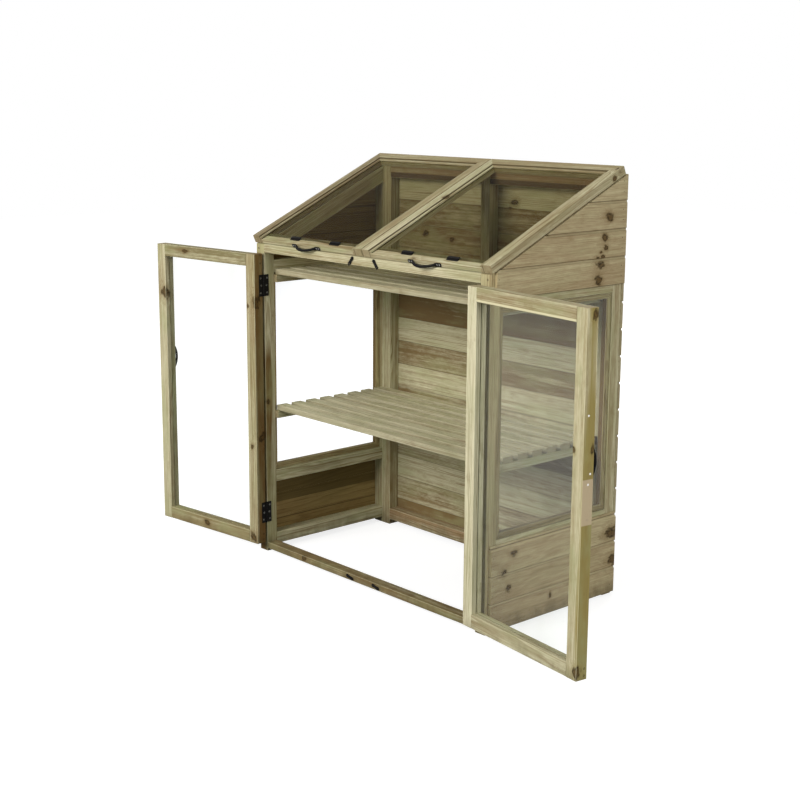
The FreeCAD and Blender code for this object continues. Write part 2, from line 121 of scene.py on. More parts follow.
@dataclass
class Surface:
    """Closed shape: points in metres and lists of point numbers."""

    points: np.ndarray
    faces: list[list[int]]

    def placed(self, matrix: np.ndarray) -> "Surface":
        """The shape moved by a 4 x 4 matrix, turned right side out if the matrix mirrors it.

        Args:
            matrix: Rotation, mirror and shift in metres.

        Returns:
            A new surface.
        """
        moved = self.points @ matrix[:3, :3].T + matrix[:3, 3]
        if np.linalg.det(matrix[:3, :3]) < 0:
            return Surface(moved, [face[::-1] for face in self.faces])
        return Surface(moved, self.faces)


def joined(parts: Sequence[Surface]) -> Surface:
    """Several shapes as one mesh.

    Args:
        parts: Shapes, which keep their own points.

    Returns:
        One surface with all of them.
    """
    points = np.concatenate([part.points for part in parts])
    starts = np.cumsum([0] + [len(part.points) for part in parts[:-1]])
    faces = []
    for start, part in zip(starts, parts):
        faces.extend([[int(start) + index for index in face] for face in part.faces])
    return Surface(points, faces)


def quads(levels: int, around: int, loops: bool) -> np.ndarray:
    """Point numbers of the faces between rings of points.

    The face at level i and step j joins points (i, j), (i, j+1), (i+1, j+1) and (i+1, j),
    with j counted round the ring, and i too where the rings close on themselves.

    Args:
        levels: Rings.
        around: Points in each ring.
        loops: Whether the last ring joins the first.

    Returns:
        An array of four point numbers a face.
    """
    level = np.arange(levels if loops else levels - 1)[:, None]
    step = np.arange(around)[None, :]
    after = (level + 1) % levels
    beside = (step + 1) % around
    near, far = level * around, after * around
    corners = [near + step, near + beside, far + beside, far + step]
    whole = [np.broadcast_to(corner, (len(level), around)) for corner in corners]
    return np.stack(whole, axis=-1).reshape(-1, 4)


def loft(rings: np.ndarray, loops: bool = False) -> Surface:
    """Closed shape through rings of points, with a fan from the middle of each end ring.

    Its volume is the sum over triangles of a . (b x c) / 6, and where that is negative the
    faces are turned over, so that they point outwards.

    Args:
        rings: Array of (ring, point, xyz) in millimetres.
        loops: Whether the last ring joins the first, as round a wire ring.

    Returns:
        The surface in metres.
    """
    levels, around, _ = rings.shape
    points = rings.reshape(-1, 3) * MM
    sides = quads(levels, around, loops)
    faces = sides.tolist()
    triangles = np.concatenate([sides[:, [0, 1, 2]], sides[:, [0, 2, 3]]])
    if not loops:
        ends = np.stack([rings[0].mean(0), rings[-1].mean(0)]) * MM
        first, last = len(points), len(points) + 1
        points = np.concatenate([points, ends])
        step = np.arange(around)
        beside = (step + 1) % around
        bottom = np.stack([beside, step, np.full(around, first)], axis=-1)
        top_start = (levels - 1) * around
        top = np.stack([top_start + step, top_start + beside, np.full(around, last)], axis=-1)
        faces += bottom.tolist() + top.tolist()
        triangles = np.concatenate([triangles, bottom, top])
    a, b, c = (points[triangles[:, k]] for k in range(3))
    if np.einsum("ij,ij->", a, np.cross(b, c)) < 0:
        faces = [face[::-1] for face in faces]
    return Surface(points, faces)


def circle(radius: float, count: int) -> np.ndarray:
    """Points (radius cos t, radius sin t) for a count of t evenly round a turn."""
    turn = np.arange(count) * 2 * np.pi / count
    return radius * np.stack([np.cos(turn), np.sin(turn)], axis=-1)


def rounded_outline(width: float, height: float, radius: float, steps: int = 5) -> np.ndarray:
    """Rectangle about the origin with round corners.

    Each corner is its centre plus radius times (cos t, sin t) over a quarter turn.

    Args:
        width, height: Overall size.
        radius: Corner radius.
        steps: Points in each corner.

    Returns:
        Array of (point, xy), anticlockwise.
    """
    quarter = np.linspace(0, np.pi / 2, steps)
    turn = (quarter[None, :] + np.arange(4)[:, None] * np.pi / 2).reshape(-1)
    side = np.repeat([1, -1, -1, 1], steps) * (width / 2 - radius)
    rise = np.repeat([1, 1, -1, -1], steps) * (height / 2 - radius)
    return np.stack([side + radius * np.cos(turn), rise + radius * np.sin(turn)], axis=-1)


RIM_STEPS = np.array([0.0, 0.3, 0.65, 1.0])
WIRE_POINTS = 12
# A screw head's rings in shares of its radius, and the half width and reach of its cross
HEAD_RINGS = np.array([1.0, 0.97, 0.86, 0.72, 0.58, 0.46, 0.34, 0.22, 0.1, 0.03])
CROSS_ARM, CROSS_REACH = 0.17, 0.6
SHANK_SHARE, SHANK_DEPTH = 0.98, 0.6


def plate(width: float, height: float, radius: float, thickness: float, edge: float) -> Surface:
    """Flat plate in X and Y from Z = 0 to its thickness, with its rims rounded.

    At a height h within one edge radius of a face, the outline is drawn in by
    edge (1 - sqrt(1 - (1 - h / edge)^2)), and its corner radius by nine tenths of that.

    Args:
        width, height, radius: Outline.
        thickness: Along Z.
        edge: Radius of the rims.

    Returns:
        The plate.
    """
    inset = edge * (1 - np.sqrt(1 - (1 - RIM_STEPS) ** 2))
    heights = np.concatenate([edge * RIM_STEPS, thickness - edge * RIM_STEPS[::-1]])
    rings = []
    for level, drawn_in in zip(heights, np.concatenate([inset, inset[::-1]])):
        corner = radius - drawn_in * 0.9
        outline = rounded_outline(width - 2 * drawn_in, height - 2 * drawn_in, corner)
        rings.append(np.column_stack([outline, np.full(len(outline), level)]))
    return loft(np.array(rings))


def turned_profile(profile: Sequence[tuple[float, float]], count: int) -> Surface:
    """Shape turned about Z: each (radius, height) of the profile is carried round a circle.

    Args:
        profile: Radius and height pairs, from bottom to top.
        count: Points round the circle.

    Returns:
        The shape.
    """
    rings = []
    for radius, height in profile:
        rings.append(np.column_stack([circle(radius, count), np.full(count, height)]))
    return loft(np.array(rings))


def wire_ring(radius: float, half_width: float, half_height: float, count: int = 28) -> Surface:
    """Flattened ring about Z.

    With t round the ring and s round its section, a point lies at distance
    radius + half_width cos s from the axis, at height half_height sin s.

    Args:
        radius: Middle of the section.
        half_width, half_height: Section.
        count: Points round the ring.

    Returns:
        The ring.
    """
    section = np.arange(WIRE_POINTS) * 2 * np.pi / WIRE_POINTS
    turn = np.arange(count)[:, None] * 2 * np.pi / count
    reach = radius + half_width * np.cos(section)[None, :]
    rise = np.broadcast_to(half_height * np.sin(section)[None, :], (count, WIRE_POINTS))
    rings = np.stack([reach * np.cos(turn), reach * np.sin(turn), rise], axis=-1)
    return loft(rings, loops=True)


def screw_head(radius: float, rise: float, depth: float, count: int = 40) -> Surface:
    """Cross-slotted head about Z with its rim on Z = 0.

    At distance r the height is rise (1 - (r / radius)^2), less depth times a cross whose two
    arms fall off as exp(-(u / arm)^6) across and exp(-(v / reach)^6) along.

    Args:
        radius, rise: The head.
        depth: Of the cross.
        count: Points round the head.

    Returns:
        The head with a short shank below it.
    """
    share = HEAD_RINGS[:, None]
    turn = np.arange(count)[None, :] * 2 * np.pi / count
    across = radius * share * np.cos(turn)
    up = radius * share * np.sin(turn)
    arm, reach = radius * CROSS_ARM, radius * CROSS_REACH
    one = np.exp(-((across / arm) ** 6) - (up / reach) ** 6)
    other = np.exp(-((up / arm) ** 6) - (across / reach) ** 6)
    height = rise * (1 - share**2) - depth * np.maximum(one, other)
    head = np.stack([across, up, height], axis=-1)
    foot = head[:1] * np.array([SHANK_SHARE, SHANK_SHARE, 0.0]) - np.array([0.0, 0.0, SHANK_DEPTH])
    return loft(np.concatenate([foot, head]))


def nail_head(radius: float = 1.6) -> Surface:
    """Flat nail head with a rolled rim, standing 0.35 mm proud of Z = 0."""
    rim = [(radius * 0.9, -0.3), (radius, 0.1), (radius * 0.85, 0.32), (radius * 0.3, 0.35)]
    return turned_profile(rim, 10)


def shift(x: float, y: float, z: float) -> np.ndarray:
    """4 x 4 matrix that moves by millimetres."""
    return np.array(Matrix.Translation(Vector((x, y, z)) * MM))


def turn_about(axis: str, degrees: float) -> np.ndarray:
    """4 x 4 matrix that turns about X, Y or Z through the origin."""
    return np.array(Matrix.Rotation(math.radians(degrees), 4, axis))


MIRROR = np.diag([-1.0, 1.0, 1.0, 1.0])


def facing(direction: Triple, place: Triple, spin: float = 0.0) -> np.ndarray:
    """Matrix that spins a shape by degrees about Z, then stands its Z a way at a place in mm."""
    stand = Vector(direction).to_track_quat("Z", "Y").to_matrix().to_4x4()
    return shift(*place) @ np.array(stand) @ turn_about("Z", spin)


# Shader nodes


class Graph:
    """Adds nodes to one node tree and links them."""

    def __init__(self, tree: Group) -> None:
        """Keeps the tree."""
        self.tree = tree

    def feed(self, socket: Socket, value: Value) -> None:
        """Links a socket to another, or sets its own value.

        Args:
            socket: Input socket.
            value: Output socket, number or numbers.
        """
        if isinstance(value, Socket):
            self.tree.links.new(value, socket)
        elif socket.type == "RGBA" and len(value) == 3:
            socket.default_value = (*value, 1.0)
        else:
            socket.default_value = value

    def node(
        self, kind: str, inputs: dict[Union[str, int], Value], **settings: object
    ) -> bpy.types.Node:
        """Adds a node.

        Args:
            kind: Node type without its ShaderNode prefix.
            inputs: Values by socket name or number.
            settings: Attributes of the node.

        Returns:
            The node.
        """
        made = self.tree.nodes.new("ShaderNode" + kind)
        for name, setting in settings.items():
            setattr(made, name, setting)
        for name, value in inputs.items():
            self.feed(made.inputs[name], value)
        return made

    def math(self, operation: str, a: Value, b: Value = 0.0, c: Value = 0.0) -> Socket:
        """One step of arithmetic on numbers."""
        return self.node("Math", {0: a, 1: b, 2: c}, operation=operation).outputs[0]

    def times(self, a: Value, b: Value) -> Socket:
        """Product of two numbers."""
        return self.math("MULTIPLY", a, b)

    def minus(self, a: Value, b: Value) -> Socket:
        """Difference of two numbers."""
        return self.math("SUBTRACT", a, b)

    def vector(self, operation: str, a: Value, b: Value = ORIGIN) -> Socket:
        """One step of arithmetic on vectors, whose result is a vector."""
        return self.node("VectorMath", {0: a, 1: b}, operation=operation).outputs[0]

    def scaled(self, a: Value, scale: Value) -> Socket:
        """A vector times a number."""
        return self.node("VectorMath", {0: a, "Scale": scale}, operation="SCALE").outputs[0]

    def length(self, a: Value) -> Socket:
        """Length of a vector."""
        return self.node("VectorMath", {0: a}, operation="LENGTH").outputs["Value"]

    def dot(self, a: Value, b: Value) -> Socket:
        """How far a vector reaches along another."""
        return self.node("VectorMath", {0: a, 1: b}, operation="DOT_PRODUCT").outputs["Value"]

    def part(self, a: Value, axis: int) -> Socket:
        """X, Y or Z of a vector, by its number."""
        return self.node("SeparateXYZ", {0: a}).outputs[axis]

    def sway(self, noise: Value, amount: Value, base: Value) -> Socket:
        """The base, moved by the amount times how far a noise is from its middle, 0.5."""
        return self.math("MULTIPLY_ADD", self.minus(noise, 0.5), amount, base)

    def ease(
        self, value: Value, low: float, high: float, start: Value = 0.0, end: Value = 1.0
    ) -> Socket:
        """Smooth step of a value between two limits, from a start to an end."""
        inputs = {"Value": value, "From Min": low, "From Max": high, "To Min": start, "To Max": end}
        return self.node("MapRange", inputs, interpolation_type="SMOOTHSTEP").outputs["Result"]

    def blend(self, share: Value, a: Value, b: Value) -> Socket:
        """Colour a with a share of colour b.

        Args:
            share: Of the second colour.
            a, b: Colours to mix.

        Returns:
            The mix.
        """
        made = self.node("Mix", {}, data_type="RGBA")
        for name, value in (("Factor_Float", share), ("A_Color", a), ("B_Color", b)):
            self.feed(next(s for s in made.inputs if s.identifier == name), value)
        return next(s for s in made.outputs if s.identifier == "Result_Color")

    def noise(self, position: Value, detail: float = 2.0, rough: float = 0.5) -> bpy.types.Node:
        """Noise of scale 1 over a position that is scaled beforehand."""
        inputs = {"Vector": position, "Scale": 1.0, "Detail": detail, "Roughness": rough}
        return self.node("TexNoise", inputs, noise_dimensions="3D")

    def luck(self, seed: Value) -> Sockets:
        """Outputs of white noise: one draw for each seed."""
        return self.node("TexWhiteNoise", {"W": seed}, noise_dimensions="1D").outputs

    def stretched(self, position: Value, along: float, across: float) -> Socket:
        """A position scaled along X and across it."""
        return self.vector("MULTIPLY", position, (along, across, across))

    def use(self, tree: Group, inputs: dict[str, Value]) -> bpy.types.Node:
        """Places a node group.

        Args:
            tree: The group.
            inputs: Values by socket name.

        Returns:
            The group's node.
        """
        made = self.tree.nodes.new("ShaderNodeGroup")
        made.node_tree = tree
        for name, value in inputs.items():
            self.feed(made.inputs[name], value)
        return made


class Effect:
    """A shader node group with named inputs and outputs."""

    KINDS = {"number": "NodeSocketFloat", "colour": "NodeSocketColor", "vector": "NodeSocketVector"}

    def __init__(self, name: str, inputs: dict[str, str], outputs: dict[str, str]) -> None:
        """Makes the group and its sockets.

        Args:
            name: Of the group.
            inputs, outputs: Socket names with number, colour or vector.
        """
        self.tree = bpy.data.node_groups.new(name, "ShaderNodeTree")
        for sockets, way in ((inputs, "INPUT"), (outputs, "OUTPUT")):
            for socket, kind in sockets.items():
                self.tree.interface.new_socket(socket, in_out=way, socket_type=self.KINDS[kind])
        self.graph = Graph(self.tree)
        self.given = self.tree.nodes.new("NodeGroupInput").outputs
        self.result = self.tree.nodes.new("NodeGroupOutput").inputs

    def give(self, **results: Socket) -> Group:
        """Links the outputs by name, with _ for a space, and returns the group.

        Args:
            results: Sockets by the names of the outputs.

        Returns:
            The group.
        """
        for name, socket in results.items():
            self.graph.feed(self.result[name.replace("_", " ")], socket)
        return self.tree


class Layer(Enum):
    """Noise of the softwood pattern.

    Its cycles in a metre along and across the grain, its detail and its roughness.
    """

    WAVER = (1.5, 10.0, 1.5, 0.5)
    RING_WOBBLE = (3.5, 60.0, 2.0, 0.5)
    KNOT_LOBES = (40.0, 70.0, 1.0, 0.5)
    KNOT_RAGS = (130.0, 210.0, 3.0, 0.65)
    FIBRE = (14.0, 620.0, 2.0, 0.5)
    LINE = (2.6, 210.0, 2.0, 0.5)
    STREAK = (1.6, 70.0, 3.0, 0.6)
    SLOW = (1.3, 9.0, 1.0, 0.5)
    MOTTLE = (24.0, 90.0, 3.0, 0.7)
    GREEN = (4.5, 15.0, 3.0, 0.6)
    BLEMISH = (14.0, 26.0, 4.0, 0.65)


class SoftwoodPattern:
    """Sawn softwood as a solid pattern, with its grain along X and one log for each seed.

    Growth rings are the distance from a pith line divided by the ring width, bent by a slow
    noise and pushed aside round knots. Late wood darkens the end of each ring, and heartwood
    lies within its reach of the pith. Knots are the cells of a stretched Voronoi pattern
    nearest to a point, or the distances handed in, with a ragged rim and a split core.
    """

    NUMBERS = (
        "Seed", "Tone", "Tone Spread", "Contrast", "Ring Width", "Pith Spread", "Heart Reach",
        "Streaks", "Knot Share", "Knot Distance", "Green Share", "Blemish Share",
    )
    COLOURS = ("Pale", "Tan", "Late", "Heart", "Green", "Knot")
    MIDDLE = (0.5, 0.5, 0.5)
    LOG_SPREAD = (9.0, 7.0, 8.0)      # metres over which the logs' patterns are picked
    PITH_BEND = (0.0, 0.05, 0.05)     # metres that the slow noise bends a pith
    KNOT_CELLS = (4.6, 10.0)          # cells in a metre along and across the grain
    KNOT_GROWTH, LEAST_KNOT = 0.2, 0.0004
    RING_PUSH = 0.02                  # metres that a knot pushes the rings aside
    RIM_BLACK = (0.004, 0.003, 0.001)

    def __init__(self) -> None:
        """Makes the group's sockets and takes the point to its own log."""
        inputs = {"Position": "vector", "Pith": "vector"}
        inputs.update({name: "number" for name in self.NUMBERS})
        inputs.update({name: "colour" for name in self.COLOURS})
        outputs = {"Color": "colour", "Roughness": "number", "Height": "number"}
        self.effect = Effect("softwood", inputs, outputs)
        self.graph, self.given = self.effect.graph, self.effect.given
        self.luck = self.graph.luck(self.given["Seed"])
        log = self.graph.vector("MULTIPLY", self.luck["Color"], self.LOG_SPREAD)
        self.spot = self.graph.vector("ADD", self.given["Position"], log)

    def layer(self, kind: Layer, output: str = "Fac") -> Socket:
        """One of the noises at the point.

        Args:
            kind: Which noise.
            output: Its socket, Fac or Color.

        Returns:
            The socket.
        """
        along, across, detail, rough = kind.value
        position = self.graph.stretched(self.spot, along, across)
        return self.graph.noise(position, detail, rough).outputs[output]

    def pith_distance(self) -> Socket:
        """Distance across the grain from the log's pith line, in metres.

        Returns:
            The distance.
        """
        g, given = self.graph, self.given
        bend = g.vector("SUBTRACT", self.layer(Layer.WAVER, "Color"), self.MIDDLE)
        bend = g.vector("MULTIPLY", bend, self.PITH_BEND)
        spread = given["Pith Spread"]
        spread = g.node("CombineXYZ", {0: 0.0, 1: spread, 2: spread}).outputs[0]
        pith = g.vector("SUBTRACT", self.luck["Color"], self.MIDDLE)
        pith = g.vector("ADD", g.vector("MULTIPLY", pith, spread), given["Pith"])
        section = g.vector("ADD", g.vector("SUBTRACT", given["Position"], pith), bend)
        return g.length(g.vector("MULTIPLY", section, (0.0, 1.0, 1.0)))

    def knot_distance(self, ragged: Socket) -> Socket:
        """Distance from the nearest knot in knot radii.

        Args:
            ragged: Noise that frays its rim.

        Returns:
            The distance.
        """
        g, given = self.graph, self.given
        cell = {"Vector": g.stretched(self.spot, *self.KNOT_CELLS), "Scale": 1.0, "Randomness": 0.9}
        cells = g.node("TexVoronoi", cell, feature="F1").outputs
        chance = g.node("SeparateColor", {0: cells["Color"]}).outputs[0]
        size = g.minus(chance, g.minus(1.0, given["Knot Share"]))
        size = g.math("MAXIMUM", g.times(size, self.KNOT_GROWTH), self.LEAST_KNOT)
        knots = g.math("DIVIDE", cells["Distance"], size)
        knots = g.math("MINIMUM", knots, given["Knot Distance"])
        return g.sway(ragged, 1.5, g.sway(self.layer(Layer.KNOT_LOBES), 2.4, knots))

    def late_wood(self, from_pith: Socket, knots: Socket) -> Socket:
        """Mask of the dark late wood, stronger in some years than in others.

        Args:
            from_pith: Distance from the pith.
            knots: Distance from the nearest knot.

        Returns:
            The mask.
        """
        g = self.graph
        aside = g.times(g.ease(knots, 0.0, 3.6, 1.0, 0.0), self.RING_PUSH)
        count = g.math("DIVIDE", g.math("ADD", from_pith, aside), self.given["Ring Width"])
        count = g.math("MULTIPLY_ADD", self.layer(Layer.RING_WOBBLE), 1.3, count)
        within = g.math("FRACT", count)
        late = g.times(g.ease(within, 0.25, 0.88), g.ease(within, 0.92, 1.0, 1.0, 0.0))
        year = g.luck(g.math("FLOOR", count))["Value"]
        return g.times(late, g.math("MULTIPLY_ADD", year, 0.8, 0.2))

    def tone(self, streak: Socket) -> Socket:
        """How far the wood goes from pale to tan, before it is eased.

        Args:
            streak: Noise that runs in streaks along the grain.

        Returns:
            The tone.
        """
        g, given = self.graph, self.given
        tone = g.sway(self.luck["Value"], given["Tone Spread"], given["Tone"])
        tone = g.sway(self.layer(Layer.SLOW), 1.1, tone)
        tone = g.sway(streak, given["Streaks"], tone)
        return g.sway(self.layer(Layer.MOTTLE), 1.2, tone)

    def build(self) -> Group:
        """Lays the colours over each other, from clear wood to knots.

        Returns:
            The group.
        """
        g, given = self.graph, self.given
        kinds = (Layer.KNOT_RAGS, Layer.FIBRE, Layer.LINE, Layer.STREAK)
        ragged, fibre, line, streak = (self.layer(kind) for kind in kinds)
        from_pith = self.pith_distance()
        knots = self.knot_distance(ragged)
        late = self.late_wood(from_pith, knots)

        colour = g.blend(g.ease(self.tone(streak), -0.1, 1.1), given["Pale"], given["Tan"])
        heart = g.minus(given["Heart Reach"], g.sway(streak, 0.012, from_pith))
        colour = g.blend(g.ease(heart, -0.004, 0.004), colour, given["Heart"])
        darker = g.blend(0.5, given["Late"], given["Heart"])
        colour = g.blend(g.times(late, given["Contrast"]), colour, given["Late"])
        colour = g.blend(g.ease(fibre, 0.42, 0.74, 0.0, 0.38), colour, darker)
        deep = g.times(g.ease(line, 0.53, 0.68), given["Contrast"])
        colour = g.blend(g.times(deep, 0.85), colour, darker)
        moss = g.ease(self.layer(Layer.GREEN), 0.42, 0.66)
        colour = g.blend(g.times(moss, given["Green Share"]), colour, given["Green"])
        stain = g.ease(self.layer(Layer.BLEMISH), 0.55, 0.74)
        colour = g.blend(g.times(stain, given["Blemish Share"]), colour, darker)

        halo = g.ease(knots, 0.8, 3.0, 0.5, 0.0)
        core = g.ease(knots, 0.45, 1.3, 0.85, 0.0)
        rim = g.times(g.ease(knots, 0.3, 0.75), g.ease(knots, 0.9, 1.5, 1.0, 0.0))
        rim = g.times(rim, g.ease(ragged, 0.38, 0.6, 0.25, 1.0))
        colour = g.blend(core, g.blend(halo, colour, darker), given["Knot"])
        dark_rim = g.blend(0.75, given["Knot"], self.RIM_BLACK)
        colour = g.blend(g.times(rim, 0.95), colour, dark_rim)

        rough = g.math("MULTIPLY_ADD", fibre, 0.22, 0.58)
        rough = g.minus(rough, g.times(core, 0.12))
        height = g.math("MULTIPLY_ADD", fibre, 0.5, g.times(late, 0.4))
        height = g.math("MULTIPLY_ADD", line, -0.7, g.math("MULTIPLY_ADD", streak, 0.3, height))
        height = g.minus(height, g.times(rim, 0.9))
        return self.effect.give(Color=colour, Roughness=rough, Height=height)


def knot_effect() -> Group:
    """Distance from one knot in knot radii, stretched along X, or a lesser one handed in.

    Returns:
        The group.
    """
    inputs = {"Position": "vector", "Centre": "vector"}
    inputs.update({name: "number" for name in ("Radius", "Stretch", "Distance")})
    effect = Effect("knot place", inputs, {"Distance": "number"})
    g, given = effect.graph, effect.given
    apart = g.vector("SUBTRACT", given["Position"], given["Centre"])
    shortened = g.math("DIVIDE", 1.0, given["Stretch"])
    scale = g.node("CombineXYZ", {0: shortened, 1: 1.0, 2: 1.0}).outputs[0]
    own = g.math("DIVIDE", g.length(g.vector("MULTIPLY", apart, scale)), given["Radius"])
    return effect.give(Distance=g.math("MINIMUM", own, given["Distance"]))


def board_number_effect() -> Group:
    """Which board or slat a point lies on, and how near it is to the board's seams.

    The number is floor((p . Way - Start) / Pitch), plus 40 right of X = 0 where Mirror is 1.
    Seam is 1 at the two sides of the board and 0 from Seam Width inwards.

    Returns:
        The group.
    """
    inputs = {"Position": "vector", "Way": "vector"}
    inputs.update({name: "number" for name in ("Start", "Pitch", "Face", "Seam Width", "Mirror")})
    effect = Effect("board number", inputs, {"Number": "number", "Seam": "number"})
    g, given = effect.graph, effect.given
    reach = g.minus(g.dot(given["Position"], given["Way"]), given["Start"])
    count = g.math("FLOOR", g.math("DIVIDE", reach, given["Pitch"]))
    right = g.math("GREATER_THAN", g.part(given["Position"], 0), 0.0)
    right = g.times(right, g.times(given["Mirror"], 40.0))
    up = g.math("MULTIPLY_ADD", count, g.times(given["Pitch"], -1.0), reach)
    side = g.math("MINIMUM", up, g.minus(given["Face"], up))
    seam = g.ease(g.math("DIVIDE", side, given["Seam Width"]), 0.0, 1.0, 1.0, 0.0)
    return effect.give(Number=g.math("ADD", count, right), Seam=seam)


def planed_edge_effect() -> Group:
    """Masks from the direction that a face looks in the timber's own axes.

    Edge is 1 where no axis lies within about 25 degrees of the face's direction, as on a
    planed-off corner. End is 1 where the face looks along the grain, X.

    Returns:
        The group.
    """
    effect = Effect("planed edge", {"Normal": "vector"}, {"Edge": "number", "End": "number"})
    g, given = effect.graph, effect.given
    size = g.vector("ABSOLUTE", given["Normal"])
    x, y, z = (g.part(size, axis) for axis in range(3))
    most = g.math("MAXIMUM", x, g.math("MAXIMUM", y, z))
    return effect.give(Edge=g.ease(most, 0.8, 0.93, 1.0, 0.0), End=g.ease(x, 0.86, 0.96))


def grime_effect() -> Group:
    """Mask of splashed grime that thins out upwards from the ground over the given height.

    Returns:
        The group.
    """
    effect = Effect("ground grime", {"Position": "vector", "Height": "number"}, {"Mask": "number"})
    g, given = effect.graph, effect.given
    up = g.part(given["Position"], 2)
    low = g.minus(1.0, g.math("DIVIDE", up, given["Height"]))
    spot = g.vector("MULTIPLY", given["Position"], (22.0, 22.0, 9.0))
    blotch = g.noise(spot, 4.0, 0.65).outputs["Fac"]
    return effect.give(Mask=g.ease(g.sway(blotch, 1.6, low), 0.0, 1.0))


def speckle_effect() -> Group:
    """Fine speckle for painted metal and dusty panes.

    Returns:
        The group, with a fine height, a scratch mask and a slow blotch mask.
    """
    inputs = {"Position": "vector", "Grain": "number"}
    outputs = {"Height": "number", "Scratch": "number", "Blotch": "number"}
    effect = Effect("speckle", inputs, outputs)
    g, given = effect.graph, effect.given
    fine = g.scaled(given["Position"], given["Grain"])
    height = g.noise(fine, 3.0, 0.6).outputs["Fac"]
    lined = g.noise(g.vector("MULTIPLY", fine, (0.5, 0.06, 0.5)), 2.0).outputs["Fac"]
    spot = g.vector("MULTIPLY", given["Position"], (3.0, 3.0, 1.6))
    slow = g.noise(spot, 3.0, 0.6).outputs["Fac"]
    scratch, blotch = g.ease(lined, 0.62, 0.74), g.ease(slow, 0.4, 0.7)
    return effect.give(Height=height, Scratch=scratch, Blotch=blotch)


@dataclass(frozen=True)
class Effects:
    """The node groups that the finishes share."""

    softwood: Group
    knot: Group
    board_number: Group
    planed_edge: Group
    grime: Group
    speckle: Group

    @classmethod
    def build(cls) -> "Effects":
        """Makes each group once.

        Returns:
            The groups.
        """
        return cls(
            SoftwoodPattern().build(),
            knot_effect(),
            board_number_effect(),
            planed_edge_effect(),
            grime_effect(),
            speckle_effect(),
        )


def shown_rays(g: Graph) -> Socket:
    """1 for the camera's rays, by gloss and panes too, and 0 once a surface scattered them.

    Args:
        g: Of the material or world.

    Returns:
        The mask.
    """
    rays = g.node("LightPath", {}).outputs
    shown = g.math("MAXIMUM", rays["Is Camera Ray"], rays["Is Glossy Ray"])
    shown = g.math("MAXIMUM", shown, rays["Is Transmission Ray"])
    return g.times(shown, g.math("LESS_THAN", rays["Diffuse Depth"], 0.5))


def cleared(owner: Union[Material, bpy.types.World]) -> Graph:
    """Graph of a material or a world with none of its own nodes left.

    Args:
        owner: The new material or world.

    Returns:
        Its graph.
    """
    owner.use_nodes = True
    owner.node_tree.nodes.clear()
    return Graph(owner.node_tree)


# Finishes


@dataclass(frozen=True)
class Knot:
    """A knot seen on one timber: its place and radius in mm, and its stretch along the grain."""

    place: Triple
    radius: float
    stretch: float = 1.3

    def distance(
        self, g: Graph, effects: Effects, position: Value, along: Along, other: Value
    ) -> Socket:
        """Distance from this knot or from another, whichever is nearer.

        Args:
            g: Of the material.
            effects: Shared node groups.
            position: Point in the timber's own axes.
            along: Way of the grain.
            other: Distance from other knots.

        Returns:
            The distance in knot radii.
        """
        inputs = {
            "Position": position,
            "Centre": along.lay(metres(self.place)),
            "Radius": self.radius * MM,
            "Stretch": self.stretch,
            "Distance": other,
        }
        return g.use(effects.knot, inputs).outputs[0]


@dataclass(frozen=True)
class Rows:
    """Boards or slats side by side in one node, each cut from its own log."""

    way: Triple
    start: float
    pitch: float
    mirrored: bool = False
    face: float = 1e5
    seam_width: float = 3.0

    def count(self, g: Graph, effects: Effects, place: Value) -> Sockets:
        """Number and seam of the board at a place.

        Args:
            g: Of the material.
            effects: Shared node groups.
            place: Point of the frame.

        Returns:
            Outputs by name.
        """
        inputs = {
            "Position": place,
            "Way": self.way,
            "Start": self.start * MM,
            "Pitch": self.pitch * MM,
            "Face": self.face * MM,
            "Seam Width": self.seam_width * MM,
            "Mirror": float(self.mirrored),
        }
        return g.use(effects.board_number, inputs).outputs


@dataclass(frozen=True)
class Groove:
    """Dark line along a straight groove, at a reach in millimetres along a way: dirt and painted
    shade.
    """

    way: Triple
    reach: float
    half_width: float = 2.0
    share: float = 0.75

    def mask(self, g: Graph, place: Value) -> Socket:
        """Share of the groove's dirt and painted shade at a place.

        Args:
            g: Of the material.
            place: Point of the frame.

        Returns:
            The mask.
        """
        wide = self.half_width * MM
        off = g.math("ABSOLUTE", g.minus(g.dot(place, self.way), self.reach * MM))
        return g.ease(off, wide * 0.5, wide, self.share, 0.0)


@dataclass(frozen=True)
class Patch:
    """Band of wood tone or painted shade between two heights in mm, on faces that look a way or on
    all.
    """

    low: float
    high: float
    colour: Colour
    way: Triple = ORIGIN
    share: float = 0.8

    def mask(self, g: Graph, place: Value, normal: Value) -> Socket:
        """Share of the patch's colour at a place, eased over a millimetre.

        Args:
            g: Of the material.
            place: Point of the frame.
            normal: Way that the face looks there.

        Returns:
            The mask.
        """
        height = g.part(place, 2)
        low, high = self.low * MM, self.high * MM
        above = g.ease(height, low - MM, low + MM)
        within = g.times(above, g.ease(height, high - MM, high + MM, 1.0, 0.0))
        if any(self.way):
            within = g.times(within, g.ease(g.dot(normal, self.way), 0.8, 0.95))
        return g.times(within, self.share)


